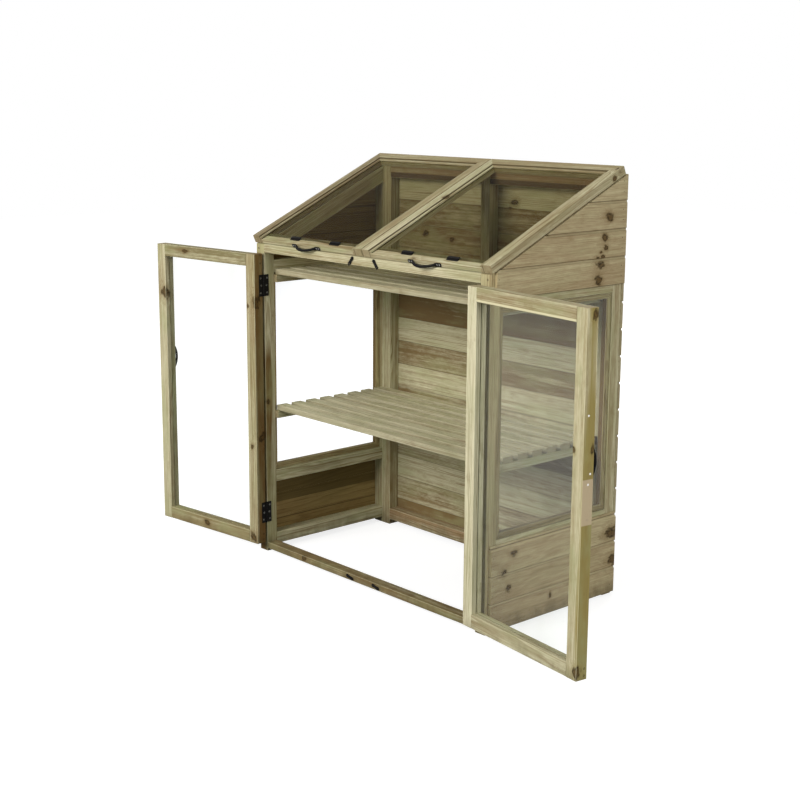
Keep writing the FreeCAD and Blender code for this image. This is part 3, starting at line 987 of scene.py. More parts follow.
@dataclass(frozen=True)
class Softwood:
    """Pressure-treated softwood.

    Faces that look the painted-shade way are darker, as painted shade. Above and below the two
    crossing heights, pieces of the same node lie level, with their grain along Y.
    """

    tone: float = 0.4
    tone_spread: float = 0.3
    contrast: float = 0.75
    streaks: float = 2.6
    ring_width: float = 5.0
    pith: Union[Triple, None] = None
    pith_spread: float = 0.24
    heart_reach: float = 0.0
    knot_share: float = 0.3
    green_share: float = 0.5
    blemish_share: float = 0.3
    edge_share: float = 0.45
    end_share: float = 0.65
    # Share of dirt and painted shade in the board seams
    seam_share: float = 0.55
    dirt_share: float = 0.55
    grime_height: float = 70.0
    pale: Colour = paint(196, 190, 156)
    tan: Colour = paint(152, 139, 105)
    late: Colour = paint(118, 98, 62)
    heart: Colour = paint(112, 86, 50)
    green: Colour = paint(150, 152, 108)
    knot: Colour = paint(78, 58, 27)
    cut_end: Colour = paint(132, 116, 84)
    # Splashed grime, and the dirt and painted shade in seams and grooves
    dirt_and_shade: Colour = paint(76, 64, 42)
    # Faces that look this way are darkened by the factor below: painted shade
    painted_shade_way: Triple = ORIGIN
    painted_shade: Colour = (0.38, 0.31, 0.17)
    groove: Union[Groove, None] = None
    crossing: Union[tuple[float, float], None] = None
    patch: Union[Patch, None] = None

    # Fields that go to the softwood group's sockets of the same names
    HANDED_ON = (
        "tone", "tone_spread", "contrast", "streaks", "knot_share", "green_share",
        "blemish_share", "pale", "tan", "late", "heart", "green", "knot",
    )
    SEED_STEP = 1.37
    NO_KNOT = 9.0       # knot radii at which no knot shows

    def grain_position(self, g: Graph, place: Value, along: Along) -> Socket:
        """A place in the timber's own axes, with the grain along X.

        Args:
            g: Of the material.
            place: Point of the frame.
            along: Way of the grain.

        Returns:
            The position.
        """
        position = g.node("Mapping", {"Vector": place, "Rotation": along.radians}).outputs[0]
        if not self.crossing:
            return position
        height = g.part(place, 2)
        low, high = (limit * MM for limit in self.crossing)
        below, above = g.math("LESS_THAN", height, low), g.math("GREATER_THAN", height, high)
        level = g.math("ADD", below, above)
        lying = g.node("Mapping", {"Vector": place, "Rotation": Along.DEPTH.radians}).outputs[0]
        return g.vector("ADD", position, g.scaled(g.vector("SUBTRACT", lying, position), level))

    def pattern(
        self, g: Graph, effects: Effects, position: Value, along: Along, seed: Value,
        knots: Sequence[Knot],
    ) -> Sockets:
        """Clear wood, rings and knots.

        Args:
            g: Of the material.
            effects: Shared node groups.
            position: Point in the timber's own axes.
            along: Way of the grain.
            seed: Picks the log.
            knots: Knots in known places.

        Returns:
            Outputs of the softwood group by name.
        """
        distance: Value = self.NO_KNOT
        for knot in knots:
            distance = knot.distance(g, effects, position, along, distance)
        inputs = {
            "Position": position,
            "Seed": seed,
            "Ring Width": self.ring_width * MM,
            "Pith": along.lay(metres(self.pith)) if self.pith else ORIGIN,
            "Pith Spread": 0.0 if self.pith else self.pith_spread,
            "Heart Reach": self.heart_reach * MM,
            "Knot Distance": distance,
        }
        for name in self.HANDED_ON:
            inputs[name.replace("_", " ").title()] = getattr(self, name)
        return g.use(effects.softwood, inputs).outputs

    def weathered_and_shaded(
        self, g: Graph, effects: Effects, seen: Sockets, along: Along,
        colour: Value, seam: Value,
    ) -> Socket:
        """The wood's colour with planed edges, cut ends, seams, patches, grime and painted shade.

        Args:
            g: Of the material.
            effects: Shared node groups.
            seen: Outputs of Texture Coordinate.
            along: Way of the grain.
            colour: Of the wood.
            seam: Share of dirt and painted shade in the seams.

        Returns:
            The colour.
        """
        place, normal = seen["Object"], seen["Normal"]
        turn = {"Vector": normal, "Rotation": along.radians}
        own_normal = g.node("Mapping", turn, vector_type="VECTOR").outputs[0]
        edges = g.use(effects.planed_edge, {"Normal": own_normal}).outputs
        low = {"Position": place, "Height": self.grime_height * MM}
        splashed = g.use(effects.grime, low).outputs[0]
        colour = g.blend(g.times(edges["Edge"], self.edge_share), colour, self.pale)
        colour = g.blend(g.times(edges["End"], self.end_share), colour, self.cut_end)
        # Dirt and painted shade in the seams and grooves
        colour = g.blend(seam, colour, self.dirt_and_shade)
        if self.groove:
            colour = g.blend(self.groove.mask(g, place), colour, self.dirt_and_shade)
        if self.patch:
            colour = g.blend(self.patch.mask(g, place, normal), colour, self.patch.colour)
        # Painted shade on faces that look the painted-shade way
        if any(self.painted_shade_way):
            in_shade = g.vector("MULTIPLY", colour, self.painted_shade)
            colour = g.blend(g.ease(g.dot(normal, self.painted_shade_way), 0.6, 0.9), colour, in_shade)
        return g.blend(g.times(splashed, self.dirt_share), colour, self.dirt_and_shade)

    def material(
        self,
        effects: Effects,
        name: str,
        along: Along,
        seed: float,
        knots: Sequence[Knot] = (),
        rows: Union[Rows, None] = None,
    ) -> Material:
        """Makes the material of one node.

        Args:
            effects: Shared node groups.
            name: Of the material.
            along: Way of the grain.
            seed: Picks the log.
            knots: Knots in known places.
            rows: Set where the node holds boards side by side.

        Returns:
            The material.
        """
        made = bpy.data.materials.new(name)
        g = cleared(made)
        seen = g.node("TexCoord", {}).outputs
        own_seed: Value = seed
        seam: Value = 0.0
        if rows:
            counted = rows.count(g, effects, seen["Object"])
            own_seed = g.math("MULTIPLY_ADD", counted["Number"], self.SEED_STEP, seed)
            seam = g.times(counted["Seam"], self.seam_share)
        position = self.grain_position(g, seen["Object"], along)
        wood = self.pattern(g, effects, position, along, own_seed, knots)
        relief = {"Height": wood["Height"], "Strength": 0.55, "Distance": 0.0009}
        inputs = {
            "Base Color": self.weathered_and_shaded(g, effects, seen, along, wood["Color"], seam),
            "Roughness": wood["Roughness"],
            "Normal": g.node("Bump", relief).outputs[0],
            "Specular IOR Level": 0.08,
        }
        shader = g.node("BsdfPrincipled", inputs)
        g.node("OutputMaterial", {"Surface": shader.outputs[0]})
        return made


@dataclass(frozen=True)
class PaintedMetal:
    """Metal under a thin coat of paint, worn through in a few scratches."""

    colour: Colour = paint(13, 12, 11)
    bare: Colour = paint(58, 54, 48)
    roughness: float = 0.6
    metallic: float = 0.0
    specular: float = 0.06
    grain: float = 900.0
    scratch_share: float = 0.45
    blotch_share: float = 0.15
    rough_spread: float = 0.2

    def material(self, effects: Effects, name: str) -> Material:
        """Makes the material.

        Args:
            effects: Shared node groups.
            name: Of the material.

        Returns:
            The material.
        """
        made = bpy.data.materials.new(name)
        g = cleared(made)
        place = g.node("TexCoord", {}).outputs["Object"]
        speckle = g.use(effects.speckle, {"Position": place, "Grain": self.grain}).outputs
        scratch = g.times(speckle["Scratch"], self.scratch_share)
        blotch = g.times(speckle["Blotch"], self.blotch_share)
        smoothest = self.roughness - self.rough_spread / 2
        relief = {"Height": speckle["Height"], "Strength": 0.35, "Distance": 0.0003}
        inputs = {
            "Base Color": g.blend(blotch, g.blend(scratch, self.colour, self.bare), self.bare),
            "Roughness": g.math("MULTIPLY_ADD", speckle["Height"], self.rough_spread, smoothest),
            "Metallic": self.metallic,
            "Specular IOR Level": self.specular,
            "Normal": g.node("Bump", relief).outputs[0],
        }
        shader = g.node("BsdfPrincipled", inputs)
        g.node("OutputMaterial", {"Surface": shader.outputs[0]})
        return made


@dataclass(frozen=True)
class ClearPane:
    """Clear glazing sheet with a light film of dust, through which lamps shine in its shade."""

    tint: Colour = paint(253, 255, 254)
    shade: Colour = paint(240, 243, 240)
    film: Colour = paint(206, 204, 192)
    settled: Colour = paint(180, 178, 164)
    film_share: float = 0.006
    roughness: float = 0.0
    refraction: float = 1.2
    grain: float = 60.0

    def material(self, effects: Effects, name: str) -> Material:
        """Makes the material.

        Args:
            effects: Shared node groups.
            name: Of the material.

        Returns:
            The material.
        """
        made = bpy.data.materials.new(name)
        g = cleared(made)
        place = g.node("TexCoord", {}).outputs["Object"]
        blotch = g.use(effects.speckle, {"Position": place, "Grain": self.grain}).outputs["Blotch"]
        glass = {
            "Base Color": g.blend(g.times(blotch, 0.2), self.tint, self.film),
            "Roughness": self.roughness,
            "Transmission Weight": 1.0,
            "IOR": self.refraction,
        }
        sheet = g.node("BsdfPrincipled", glass).outputs[0]
        dust = {"Base Color": g.blend(blotch, self.film, self.settled), "Roughness": 0.7}
        film = g.node("BsdfPrincipled", dust).outputs[0]
        share = g.math("MULTIPLY_ADD", blotch, self.film_share, self.film_share * 0.5)
        glazed = g.node("MixShader", {0: share, 1: sheet, 2: film}).outputs[0]
        rays = g.node("LightPath", {}).outputs
        through = g.node("BsdfTransparent", {"Color": self.shade}).outputs[0]
        shader = glazed
        for kind in ("Is Diffuse Ray", "Is Shadow Ray"):
            shader = g.node("MixShader", {0: rays[kind], 1: shader, 2: through}).outputs[0]
        g.node("OutputMaterial", {"Surface": shader})
        return made


@dataclass(frozen=True)
class Finishes:
    """The metal and glazing materials, made once."""

    black: Material
    screw: Material
    nail: Material
    hole: Material
    door_pane: Material
    side_pane: Material
    roof_pane: Material

    @classmethod
    def build(cls, effects: Effects) -> "Finishes":
        """Makes them from the shared node groups, in the order of the fields.

        Args:
            effects: Shared node groups.

        Returns:
            The materials.
        """
        # Grey screw heads: partly their bare steel, partly a painted highlight.
        worn = PaintedMetal(paint(128, 127, 122), paint(170, 168, 160), 0.4, 0.5)
        zinc = PaintedMetal(paint(226, 225, 220), paint(236, 235, 230), 0.4, 0.4)
        sunk = PaintedMetal(paint(46, 36, 24), paint(70, 56, 40), 0.7)
        side = ClearPane(film=paint(200, 194, 214), film_share=0.008, refraction=1.24)
        dim, shade = paint(240, 240, 234), paint(212, 209, 196)
        roof = ClearPane(dim, shade, film_share=0.0, refraction=1.03)
        kinds = (
            (PaintedMetal(), "black_metal"),
            (worn, "worn_and_glint_screw"),
            (zinc, "zinc_nail"),
            (sunk, "sunk_screw"),
            (ClearPane(refraction=1.14), "clear_door_pane"),
            (side, "clear_side_pane"),
            (roof, "clear_roof_pane"),
        )
        return cls(*(kind.material(effects, name) for kind, name in kinds))


class Workshop:
    """Puts finished pieces into the scene and logs their faces."""

    def __init__(self, effects: Effects, finishes: Finishes) -> None:
        """Keeps the shared node groups and materials.

        Args:
            effects: Shared node groups.
            finishes: Shared materials.
        """
        self.effects = effects
        self.finishes = finishes
        self.nodes = frame["nodes"]

    def piece(
        self,
        name: str,
        parts: Sequence[Surface],
        material: Material,
        body: str,
        replaces: Sequence[str] = (),
        slot: str = "black_metal",
        sharp: float = 38.0,
    ) -> bpy.types.Object:
        """Makes one object, which rides on a body.

        Args:
            name: Of the piece.
            parts: Shapes in the frame's axes.
            material: Its finish.
            body: Body that it moves with.
            replaces: Nodes that it stands for.
            slot: Not used.
            sharp: Edges that turn by more degrees stay sharp.

        Returns:
            The object.
        """
        whole = joined(parts)
        mesh = bpy.data.meshes.new(name)
        mesh.from_pydata(whole.points, [], whole.faces)
        mesh.polygons.foreach_set("use_smooth", np.ones(len(mesh.polygons), dtype=bool))
        mesh.set_sharp_from_angle(angle=math.radians(sharp))
        mesh.materials.append(material)
        mesh.update()
        made = bpy.data.objects.new(name, mesh)
        bpy.context.scene.collection.objects.link(made)
        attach(made, body)
        if replaces:
            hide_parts(*replaces)
        LOG.info("%s: %d faces on %s", name, len(mesh.polygons), body)
        return made

    def dress(self, node: str, material: Material) -> None:
        """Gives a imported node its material.

        Args:
            node: Its name.
            material: Its finish.
        """
        packed = self.nodes[node]
        if not packed.data.materials:
            packed.data.materials.append(material)
        for index in range(len(packed.material_slots)):
            packed.material_slots[index].material = material
        LOG.info("%s dressed with %s", node, material.name)

    def wood(
        self,
        node: str,
        finish: Softwood,
        along: Along,
        seed: float,
        knots: Sequence[Knot] = (),
        rows: Union[Rows, None] = None,
    ) -> None:
        """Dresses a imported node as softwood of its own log, with its knots and rows."""
        name = node + "_softwood"
        self.dress(node, finish.material(self.effects, name, along, seed, knots, rows))


# Hardware


@dataclass
class BowPull:
    """Cast bow pull, lying along X with its pads on Z = 0."""

    length: float = 156.0
    pad_width: float = 14.0
    pad_thickness: float = 2.4
    pad_corner: float = 5.0
    rise: float = 24.0
    grip_radius: float = 4.6
    foot: float = 55.0
    foot_sharpness: float = 1.6
    blend_start: float = 46.0
    blend_run: float = 13.0
    tip_share: float = 0.35
    pad_squareness: float = 0.45
    grip_rings: int = 97
    pad_rings: int = 8
    around: int = 24
    screw_radius: float = 3.1
    screw_places: tuple[tuple[float, float], ...] = ((7.5, 20.0), (18.5, 65.0))

    def ring_places(self) -> np.ndarray:
        """Where the rings lie along X: over the grip, then over a pad and round its tip.

        Returns:
            X of each ring.
        """
        start = self.length / 2 - self.pad_corner
        grip = (self.foot + 2.0) * np.linspace(-1, 1, self.grip_rings)
        flat = np.linspace(self.foot + 4.0, start, self.pad_rings)
        tip = np.sin(np.linspace(0.2, np.pi / 2 * 0.985, self.pad_rings))
        side = np.concatenate([flat, start + self.pad_corner * tip])
        return np.concatenate([-side[::-1], grip, side])

    def casting(self) -> Surface:
        """Grip and pads in one skin.

        The middle line rises as z = sqrt(R^2 - x^2) - (R - rise), R = (foot^2 + rise^2) / (2 rise),
        and never under half the pad's thickness. Round it runs a section with half width a and
        half height b, which go smoothly from the round grip to the flat pad over the foot. Near
        each end the half width falls as sqrt(1 - u^2), with u over the last pad corner.

        Returns:
            The surface.
        """
        x = self.ring_places()
        radius = (self.foot**2 + self.rise**2) / (2 * self.rise)
        arc = np.sqrt(np.maximum(radius**2 - x**2, 0)) - (radius - self.rise)
        low = self.pad_thickness / 2
        z = low + np.logaddexp(0, (arc - low) * self.foot_sharpness) / self.foot_sharpness
        step = np.clip((np.abs(x) - self.blend_start) / self.blend_run, 0, 1)
        share = step * step * (3 - 2 * step)
        past = np.abs(x) - (self.length / 2 - self.pad_corner)
        over = np.clip(past / self.pad_corner, 0, 1)
        close = np.sqrt(np.maximum(1 - over**2, 0.0))
        width = self.grip_radius + (self.pad_width / 2 - self.grip_radius) * share
        width = width - (1 - close) * self.pad_corner
        height = self.grip_radius + (low - self.grip_radius) * share
        height = height * (self.tip_share + (1 - self.tip_share) * np.sqrt(close))
        slope = np.gradient(z, x)
        lean = 1 / np.sqrt(1 + slope**2)
        turn = np.arange(self.around) * 2 * np.pi / self.around
        power = 1.0 - self.pad_squareness * share[:, None]
        sideways = np.sign(np.cos(turn)) * np.abs(np.cos(turn)) ** power
        upward = np.sign(np.sin(turn)) * np.abs(np.sin(turn)) ** power
        across, up = width[:, None] * sideways, height[:, None] * upward
        along = x[:, None] - up * (slope * lean)[:, None]
        above = np.maximum(z[:, None] + up * lean[:, None], 0.02)
        return loft(np.stack([along, across, above], axis=-1))

    def screws(self) -> list[Surface]:
        """Two screws in each pad.

        Returns:
            Their heads.
        """
        heads = []
        for side in (-1, 1):
            for inset, spin in self.screw_places:
                place = (side * (self.length / 2 - inset), 0, self.pad_thickness)
                head = screw_head(self.screw_radius, rise=0.9, depth=0.8)
                heads.append(head.placed(facing((0, 0, 1), place, spin)))
        return heads


@dataclass
class ButtHinge:
    """Butt hinge, closed, with its pin on Z and its leaves reaching along +Y."""

    leaf_width: float = 23.0
    height: float = 80.0
    gap: float = 3.2
    thickness: float = 1.5
    corner: float = 3.0
    rim: float = 0.35
    knuckle_radius: float = 3.2
    knuckle_gap: float = 0.3
    knuckles: int = 3
    knuckle_points: int = 26
    neck: float = 0.4
    pin_radius: float = 1.5
    pin_head: float = 1.9
    screw_radius: float = 3.3
    screw_places: tuple[Triple, ...] = ((-27.0, 1.2, 30.0), (0.0, -1.2, 75.0), (27.0, 1.2, 10.0))

    def leaf(self, way: float) -> Surface:
        """Flat leaf on the -X or +X side of the gap, from the knuckles outwards.

        Args:
            way: -1 or 1, the side.

        Returns:
            The leaf.
        """
        reach = self.knuckle_radius + self.neck
        near = self.gap / 2 - self.thickness
        flat = plate(self.height, self.leaf_width - reach, self.corner, self.thickness, self.rim)
        stand = shift(way * near, (self.leaf_width + reach) / 2, 0)
        return flat.placed(stand @ turn_about("Y", way * 90.0))

    def knuckle_outline(self, way: float) -> np.ndarray:
        """Circle about the pin that runs straight into the leaf's two faces.

        Args:
            way: -1 or 1, the leaf's side.

        Returns:
            Its points.
        """
        near, far = self.gap / 2 - self.thickness, self.gap / 2
        start = math.acos(near / self.knuckle_radius)
        stop = math.acos(far / self.knuckle_radius)
        turn = np.linspace(start, stop - 2 * np.pi, self.knuckle_points)
        outline = self.knuckle_radius * np.stack([np.cos(turn), np.sin(turn)], axis=-1)
        root = self.knuckle_radius + 2 * self.neck
        outline = np.concatenate([outline, [[far, root], [near, root]]])
        outline[:, 0] *= way
        return outline

    def pin(self) -> Surface:
        """Pin with a low head at each end.

        Returns:
            The pin.
        """
        thin, wide, end = self.pin_radius, self.pin_head, self.height / 2
        profile = [(thin, -end - 0.4), (wide, -end + 0.1), (thin, -end + 0.3)]
        profile += [(thin, end - 0.3), (wide, end - 0.1), (thin, end + 0.4)]
        return turned_profile(profile, 20)

    def half(self, fixed: bool) -> list[Surface]:
        """Leaf and knuckles of one half.

        Each knuckle's outline is carried along the pin with its ends drawn in a little.

        Args:
            fixed: The half with the end knuckles and the pin.

        Returns:
            Its shapes.
        """
        way = -1.0 if fixed else 1.0
        shapes = [self.leaf(way)]
        outline = self.knuckle_outline(way)
        pitch = self.height / self.knuckles
        for index in range(0 if fixed else 1, self.knuckles, 2):
            bottom = -self.height / 2 + index * pitch + self.knuckle_gap / 2
            top = bottom + pitch - self.knuckle_gap
            levels = ((bottom, 0.9), (bottom + self.rim, 1.0), (top - self.rim, 1.0), (top, 0.9))
            rings = []
            for z, share in levels:
                rings.append(np.column_stack([outline * share, np.full(len(outline), z)]))
            shapes.append(loft(np.array(rings)))
        if fixed:
            shapes.append(self.pin())
        return shapes

    def screws(self, fixed: bool) -> list[Surface]:
        """Three countersunk screws, flush with the face that meets the other leaf.

        Args:
            fixed: The half with the pin.

        Returns:
            Their heads.
        """
        way = -1.0 if fixed else 1.0
        face = way * (self.gap / 2 - self.thickness - 0.02)
        middle = (self.leaf_width + self.knuckle_radius) / 2 + 0.6
        heads = []
        for z, aside, spin in self.screw_places:
            head = screw_head(self.screw_radius, rise=0.07, depth=0.45)
            heads.append(head.placed(facing((-way, 0, 0), (face, middle + aside, z), spin)))
        return heads


@dataclass
class TurnButton:
    """Turn button hanging from its pivot at the origin, with its back on Y = 0."""

    width: float = 12.5
    reach: float = 26.0
    thickness: float = 2.9
    washer: float = 1.0
    washer_share: float = 0.8
    screw_share: float = 0.76
    hole_radius: float = 2.2
    waist: float = 0.16
    cap_rings: int = 8
    blade_rings: int = 16

    def blade(self) -> Surface:
        """Waisted blade from the pivot to the ring end.

        Its half width at a share s of its length is w (1 - 0.16 sin(pi s)), closed at the top
        by the half circle sqrt(w^2 - z^2).

        Returns:
            The surface.
        """
        half = self.width / 2
        ring_middle = (half + self.hole_radius) / 2
        cap = half * np.sin(np.linspace(np.pi / 2 * 0.97, 0, self.cap_rings))
        run = np.linspace(0, -(self.reach - ring_middle * 0.9), self.blade_rings)[1:]
        z = np.concatenate([cap, run])
        share = np.clip(-z / self.reach, 0, 1)
        rounded = np.sqrt(np.maximum(half**2 - z**2, 0.1))
        waisted = half * (1 - self.waist * np.sin(np.pi * share))
        section = rounded_outline(2.0, 2.0, 0.5, 4)
        x = np.where(z > 0, rounded, waisted)[:, None] * section[None, :, 0]
        depth = -self.washer - self.thickness / 2 + section[:, 1] * self.thickness / 2
        y = np.broadcast_to(depth[None, :], x.shape)
        return loft(np.stack([x, y, np.broadcast_to(z[:, None], x.shape)], axis=-1))

    def casting(self) -> list[Surface]:
        """Blade, ring end and washer.

        Returns:
            Its shapes.
        """
        half = self.width / 2
        middle, rim = -self.washer - self.thickness / 2, half * self.washer_share
        ring_radius, ring_half = (half + self.hole_radius) / 2, (half - self.hole_radius) / 2
        ring = wire_ring(ring_radius, ring_half, self.thickness / 2)
        washer = turned_profile([(rim, 0), (rim, self.washer)], 24)
        return [
            self.blade(),
            ring.placed(facing((0, -1, 0), (0, middle, -self.reach))),
            washer.placed(facing((0, -1, 0), (0, 0, 0))),
        ]

    def screw(self) -> Surface:
        """Round-headed pivot screw."""
        head = screw_head(self.width / 2 * self.screw_share, rise=1.4, depth=0.9)
        return head.placed(facing((0, -1, 0), (0, -self.washer - self.thickness, 0), 25.0))


@dataclass
class PaneClip:
    """Cranked strip on a lid's front rail that steps up onto the edge of its pane."""

    length: float = 52.0
    foot: float = 9.0
    reach: float = 9.0
    step: float = 4.0
    thickness: float = 1.6
    corner: float = 3.0

    def strip(self) -> Surface:
        """The strip along X, the foot of its step at the origin, its tongue along +Y.

        The bend over the pane's edge is a quarter circle, and at a distance d past the start
        of the corner both ends are shortened by corner - sqrt(corner^2 - d^2).

        Returns:
            The surface.
        """
        t = self.thickness
        bend = np.linspace(np.pi, np.pi / 2, 6)
        foot = [[-self.foot, 0.0], [-self.foot, t], [-t - 0.5, t], [-t, t + 0.5]]
        over = np.stack([t * np.cos(bend), self.step + t * np.sin(bend)], axis=-1)
        tip = [[self.reach, self.step + t], [self.reach, self.step], [0.0, self.step], [0.0, 0.0]]
        outline = np.concatenate([foot, over, tip])
        start = self.length / 2 - self.corner
        side = start + self.corner * np.sin(np.linspace(0, np.pi / 2, 7))
        x = np.concatenate([-side[::-1], side])
        past = np.clip(np.abs(x) - start, 0, self.corner)
        short = self.corner - np.sqrt(np.maximum(self.corner**2 - past**2, 0))
        front, back = outline[:, 0] < 0.1 - self.foot, outline[:, 0] > self.reach - 0.1
        ends = back.astype(float) - front.astype(float)
        y = outline[None, :, 0] - short[:, None] * ends[None, :]
        z = np.broadcast_to(outline[None, :, 1], y.shape)
        return loft(np.stack([np.broadcast_to(x[:, None], y.shape), y, z], axis=-1))


# Sub-assemblies

UP = (0.0, 0.0, 1.0)
TO_FRONT = (0.0, -1.0, 0.0)
TO_RIGHT = (1.0, 0.0, 0.0)


@dataclass
class Carcass:
    """Posts, studs, rails, header, sill and rafters."""

    shop: Workshop
    half_width: float = 600.0
    depth: float = 625.0
    post_screw_inset: float = 15.0
    post_screw_height: float = 1151.0

    def dress_uprights(self) -> None:
        """Gives each post and stud its log."""
        plain, shaded = Softwood(), Softwood(tone=0.55, green_share=0.6)
        # Brown heart on the front face: heartwood and painted shade beside the open door; the pale
        # patch above the door's top is where that shade ends.
        brown_edged = Softwood(
            tone=0.35, pith=(-580.0, -618.0, 0.0), heart_reach=20.0, heart=paint(103, 75, 35),
            patch=Patch(1134.0, 1200.0, paint(166, 160, 118)),
        )
        front_right = Softwood(tone=0.45, green_share=0.25, pale=paint(190, 180, 140))
        back_right = Softwood(tone=0.45, green_share=0.3, contrast=0.5)
        knots = (Knot((-555, -614, 577), 6.5), Knot((-555, -574, 36), 6.0))
        uprights = (
            ("front_post_left", brown_edged, knots),
            ("front_post_right", front_right, ()),
            ("back_post_left", shaded, ()),
            ("back_post_right", back_right, ()),
            ("back_stud_left", plain, ()),
            ("back_stud_centre", shaded, ()),
            ("back_stud_right", plain, ()),
        )
        for index, (node, finish, seen) in enumerate(uprights):
            self.shop.wood(node, finish, Along.UPRIGHT, 11.0 + index, seen)

    def dress_rails(self) -> None:
        """Gives the header, the sill, the rails and the rafters their logs."""
        header = Softwood(tone=0.35, green_share=0.35)
        sill = Softwood(tone=1.0, tan=paint(137, 119, 83))
        self.shop.wood("front_header", header, Along.ACROSS, 21.0)
        self.shop.wood("front_sill", sill, Along.ACROSS, 22.0, (Knot((-331, -625, 29), 9.0, 1.5),))
        # The dark band low on the back rails' front faces is a painted shadow.
        brown = Softwood(
            tone=0.85, green_share=0.15, tan=paint(146, 122, 92),
            patch=Patch(1360.0, 1409.0, paint(66, 52, 36), TO_FRONT),
        )
        rows = Rows(UP, -300.0, 500.0, mirrored=True)
        self.shop.wood("back_rails", brown, Along.ACROSS, 23.0, (), rows)
        left, rows = Softwood(tone=0.05, pale=paint(204, 198, 162)), Rows(UP, 0.0, 200.0)
        self.shop.wood("left_side_rails", left, Along.DEPTH, 24.0, (), rows)
        self.shop.wood("right_side_rails", Softwood(), Along.DEPTH, 25.0, (), rows)
        # Rafters darker in tone, like the shaded uprights: painted shade.
        rafter = Softwood(tone=0.55, green_share=0.6)
        self.shop.wood("roof_rafters", rafter, Along.SLOPE, 26.0, (), Rows(TO_RIGHT, 0.0, 3000.0))

    def fix(self) -> None:
        """Adds the screws at the tops of the front posts."""
        screws = []
        for side in Side:
            x = side.sign * (self.half_width - self.post_screw_inset)
            stand = facing(TO_FRONT, (x, -self.depth, self.post_screw_height), 35.0)
            screws.append(screw_head(radius=3.6, rise=0.25, depth=0.9).placed(stand))
        self.shop.piece("post_screws", screws, self.shop.finishes.hole, "frame")


@dataclass
class Cladding:
    """Shiplap boards on the back and the two sides, with their nails."""

    shop: Workshop
    bottom: float = 10.0
    upper_bottom: float = 1090.0
    lower_count: int = 3
    upper_count: int = 4
    cover: float = 92.5
    thickness: float = 12.5
    half_width: float = 600.0
    depth: float = 625.0
    slope: float = math.tan(math.radians(24.5))
    front_height: float = 1167.0
    back_top: float = 1443.0
    nail_heights: tuple[float, float] = (28.0, 62.0)
    side_nail_lines: tuple[float, float] = (-602.0, -20.0)
    back_nail_lines: Triple = (-577.0, 0.0, 577.0)
    slope_margin: float = 8.0
    top_margin: float = 6.0

    def dress_back(self) -> None:
        """Gives each board of the back its log."""
        finish = Softwood(
            tone=0.5, tone_spread=1.3, contrast=0.6, streaks=1.6, knot_share=0.4, green_share=0.35,
            tan=paint(112, 93, 62), cut_end=paint(156, 146, 114),
        )
        knots = (
            Knot((103, 0, 1329), 11.0, 1.1),
            Knot((-360, 0, 1184), 10.0),
            Knot((-215, 0, 1169), 8.0),
        )
        rows = Rows(UP, self.bottom, self.cover, face=self.cover)
        self.shop.wood("back_boards", finish, Along.ACROSS, 1808.1, knots, rows)

    def dress_sides(self) -> None:
        """Gives each side board its log. The left side is seen from inside."""
        upper = Softwood(
            tone=0.55, tone_spread=0.6, contrast=0.3, streaks=1.3, ring_width=5.5, knot_share=0.3,
            green_share=0.12, seam_share=0.75, pale=paint(192, 180, 142), tan=paint(164, 146, 112),
            cut_end=paint(158, 142, 104),
        )
        lower = replace(upper, tone=upper.tone - 0.15)
        # Inward faces of the left boards: painted shade, lighter low down; lit is a painted shadow
        # under the window rail.
        upper_inside = replace(upper, contrast=0.7, painted_shade_way=TO_RIGHT)
        lit = Patch(167.0, 290.0, paint(104, 96, 64), TO_RIGHT)
        lower_inside = replace(upper_inside, painted_shade=(0.6, 0.5, 0.33), patch=lit)
        upper_knots = (
            Knot((612, -88, 1316), 11.0),
            Knot((612, -107, 1248), 11.0, 1.1),
            Knot((612, -102, 1216), 7.5),
            Knot((612, -125, 1203), 3.5, 1.6),
            Knot((612, -143, 1184), 5.0, 1.8),
            Knot((612, -117, 1187), 5.0, 1.6),
            Knot((612, -125, 1160), 11.0, 1.6),
            Knot((612, -134, 1113), 14.0, 1.0),
        )
        lower_knots = (
            Knot((612, -507, 255), 8.0),
            Knot((612, -552, 201), 10.0),
            Knot((612, -529, 143), 9.0),
            Knot((612, -329, 71), 9.0, 0.6),
            Knot((612, -10, 224), 16.0, 1.8),
            Knot((612, -8, 127), 14.0, 1.8),
        )
        for place, start, outside, inside, knots in (
            ("lower", self.bottom, lower, lower_inside, lower_knots),
            ("upper", self.upper_bottom, upper, upper_inside, upper_knots),
        ):
            rows = Rows(UP, start, self.cover, face=self.cover)
            self.shop.wood("right_%s_boards" % place, outside, Along.DEPTH, 32.0, knots, rows)
            self.shop.wood("left_%s_boards" % place, inside, Along.DEPTH, 47.0, (), rows)

    def side_nails(self, side: Side) -> list[Surface]:
        """Two nails where each side board crosses a post, as far as the slope leaves wood.

        Args:
            side: Left or right.

        Returns:
            Their heads.
        """
        feet = [self.bottom + index * self.cover for index in range(self.lower_count)]
        feet += [self.upper_bottom + index * self.cover for index in range(self.upper_count)]
        x = side.sign * (self.half_width + self.thickness)
        heads = []
        for z in (foot + up for foot in feet for up in self.nail_heights):
            for y in self.side_nail_lines:
                if z + self.slope_margin <= self.front_height + self.slope * (y + self.depth):
                    heads.append(nail_head().placed(facing((side.sign, 0, 0), (x, y, z))))
        return heads

    def back_nails(self) -> list[Surface]:
        """Two nails where each back board crosses a post or the middle stud.

        Returns:
            Their heads.
        """
        count = math.ceil((self.back_top - self.bottom) / self.cover)
        feet = [self.bottom + index * self.cover for index in range(count)]
        heads = []
        for z in (foot + up for foot in feet for up in self.nail_heights):
            if z <= self.back_top - self.top_margin:
                for x in self.back_nail_lines:
                    heads.append(nail_head().placed(facing((0, 1, 0), (x, self.thickness, z))))
        return heads

    def nail(self) -> None:
        """Nails all the boards."""
        for side in Side:
            name = side.value + "_board_nails"
            self.shop.piece(name, self.side_nails(side), self.shop.finishes.hole, "frame")
        self.shop.piece("back_board_nails", self.back_nails(), self.shop.finishes.hole, "frame")


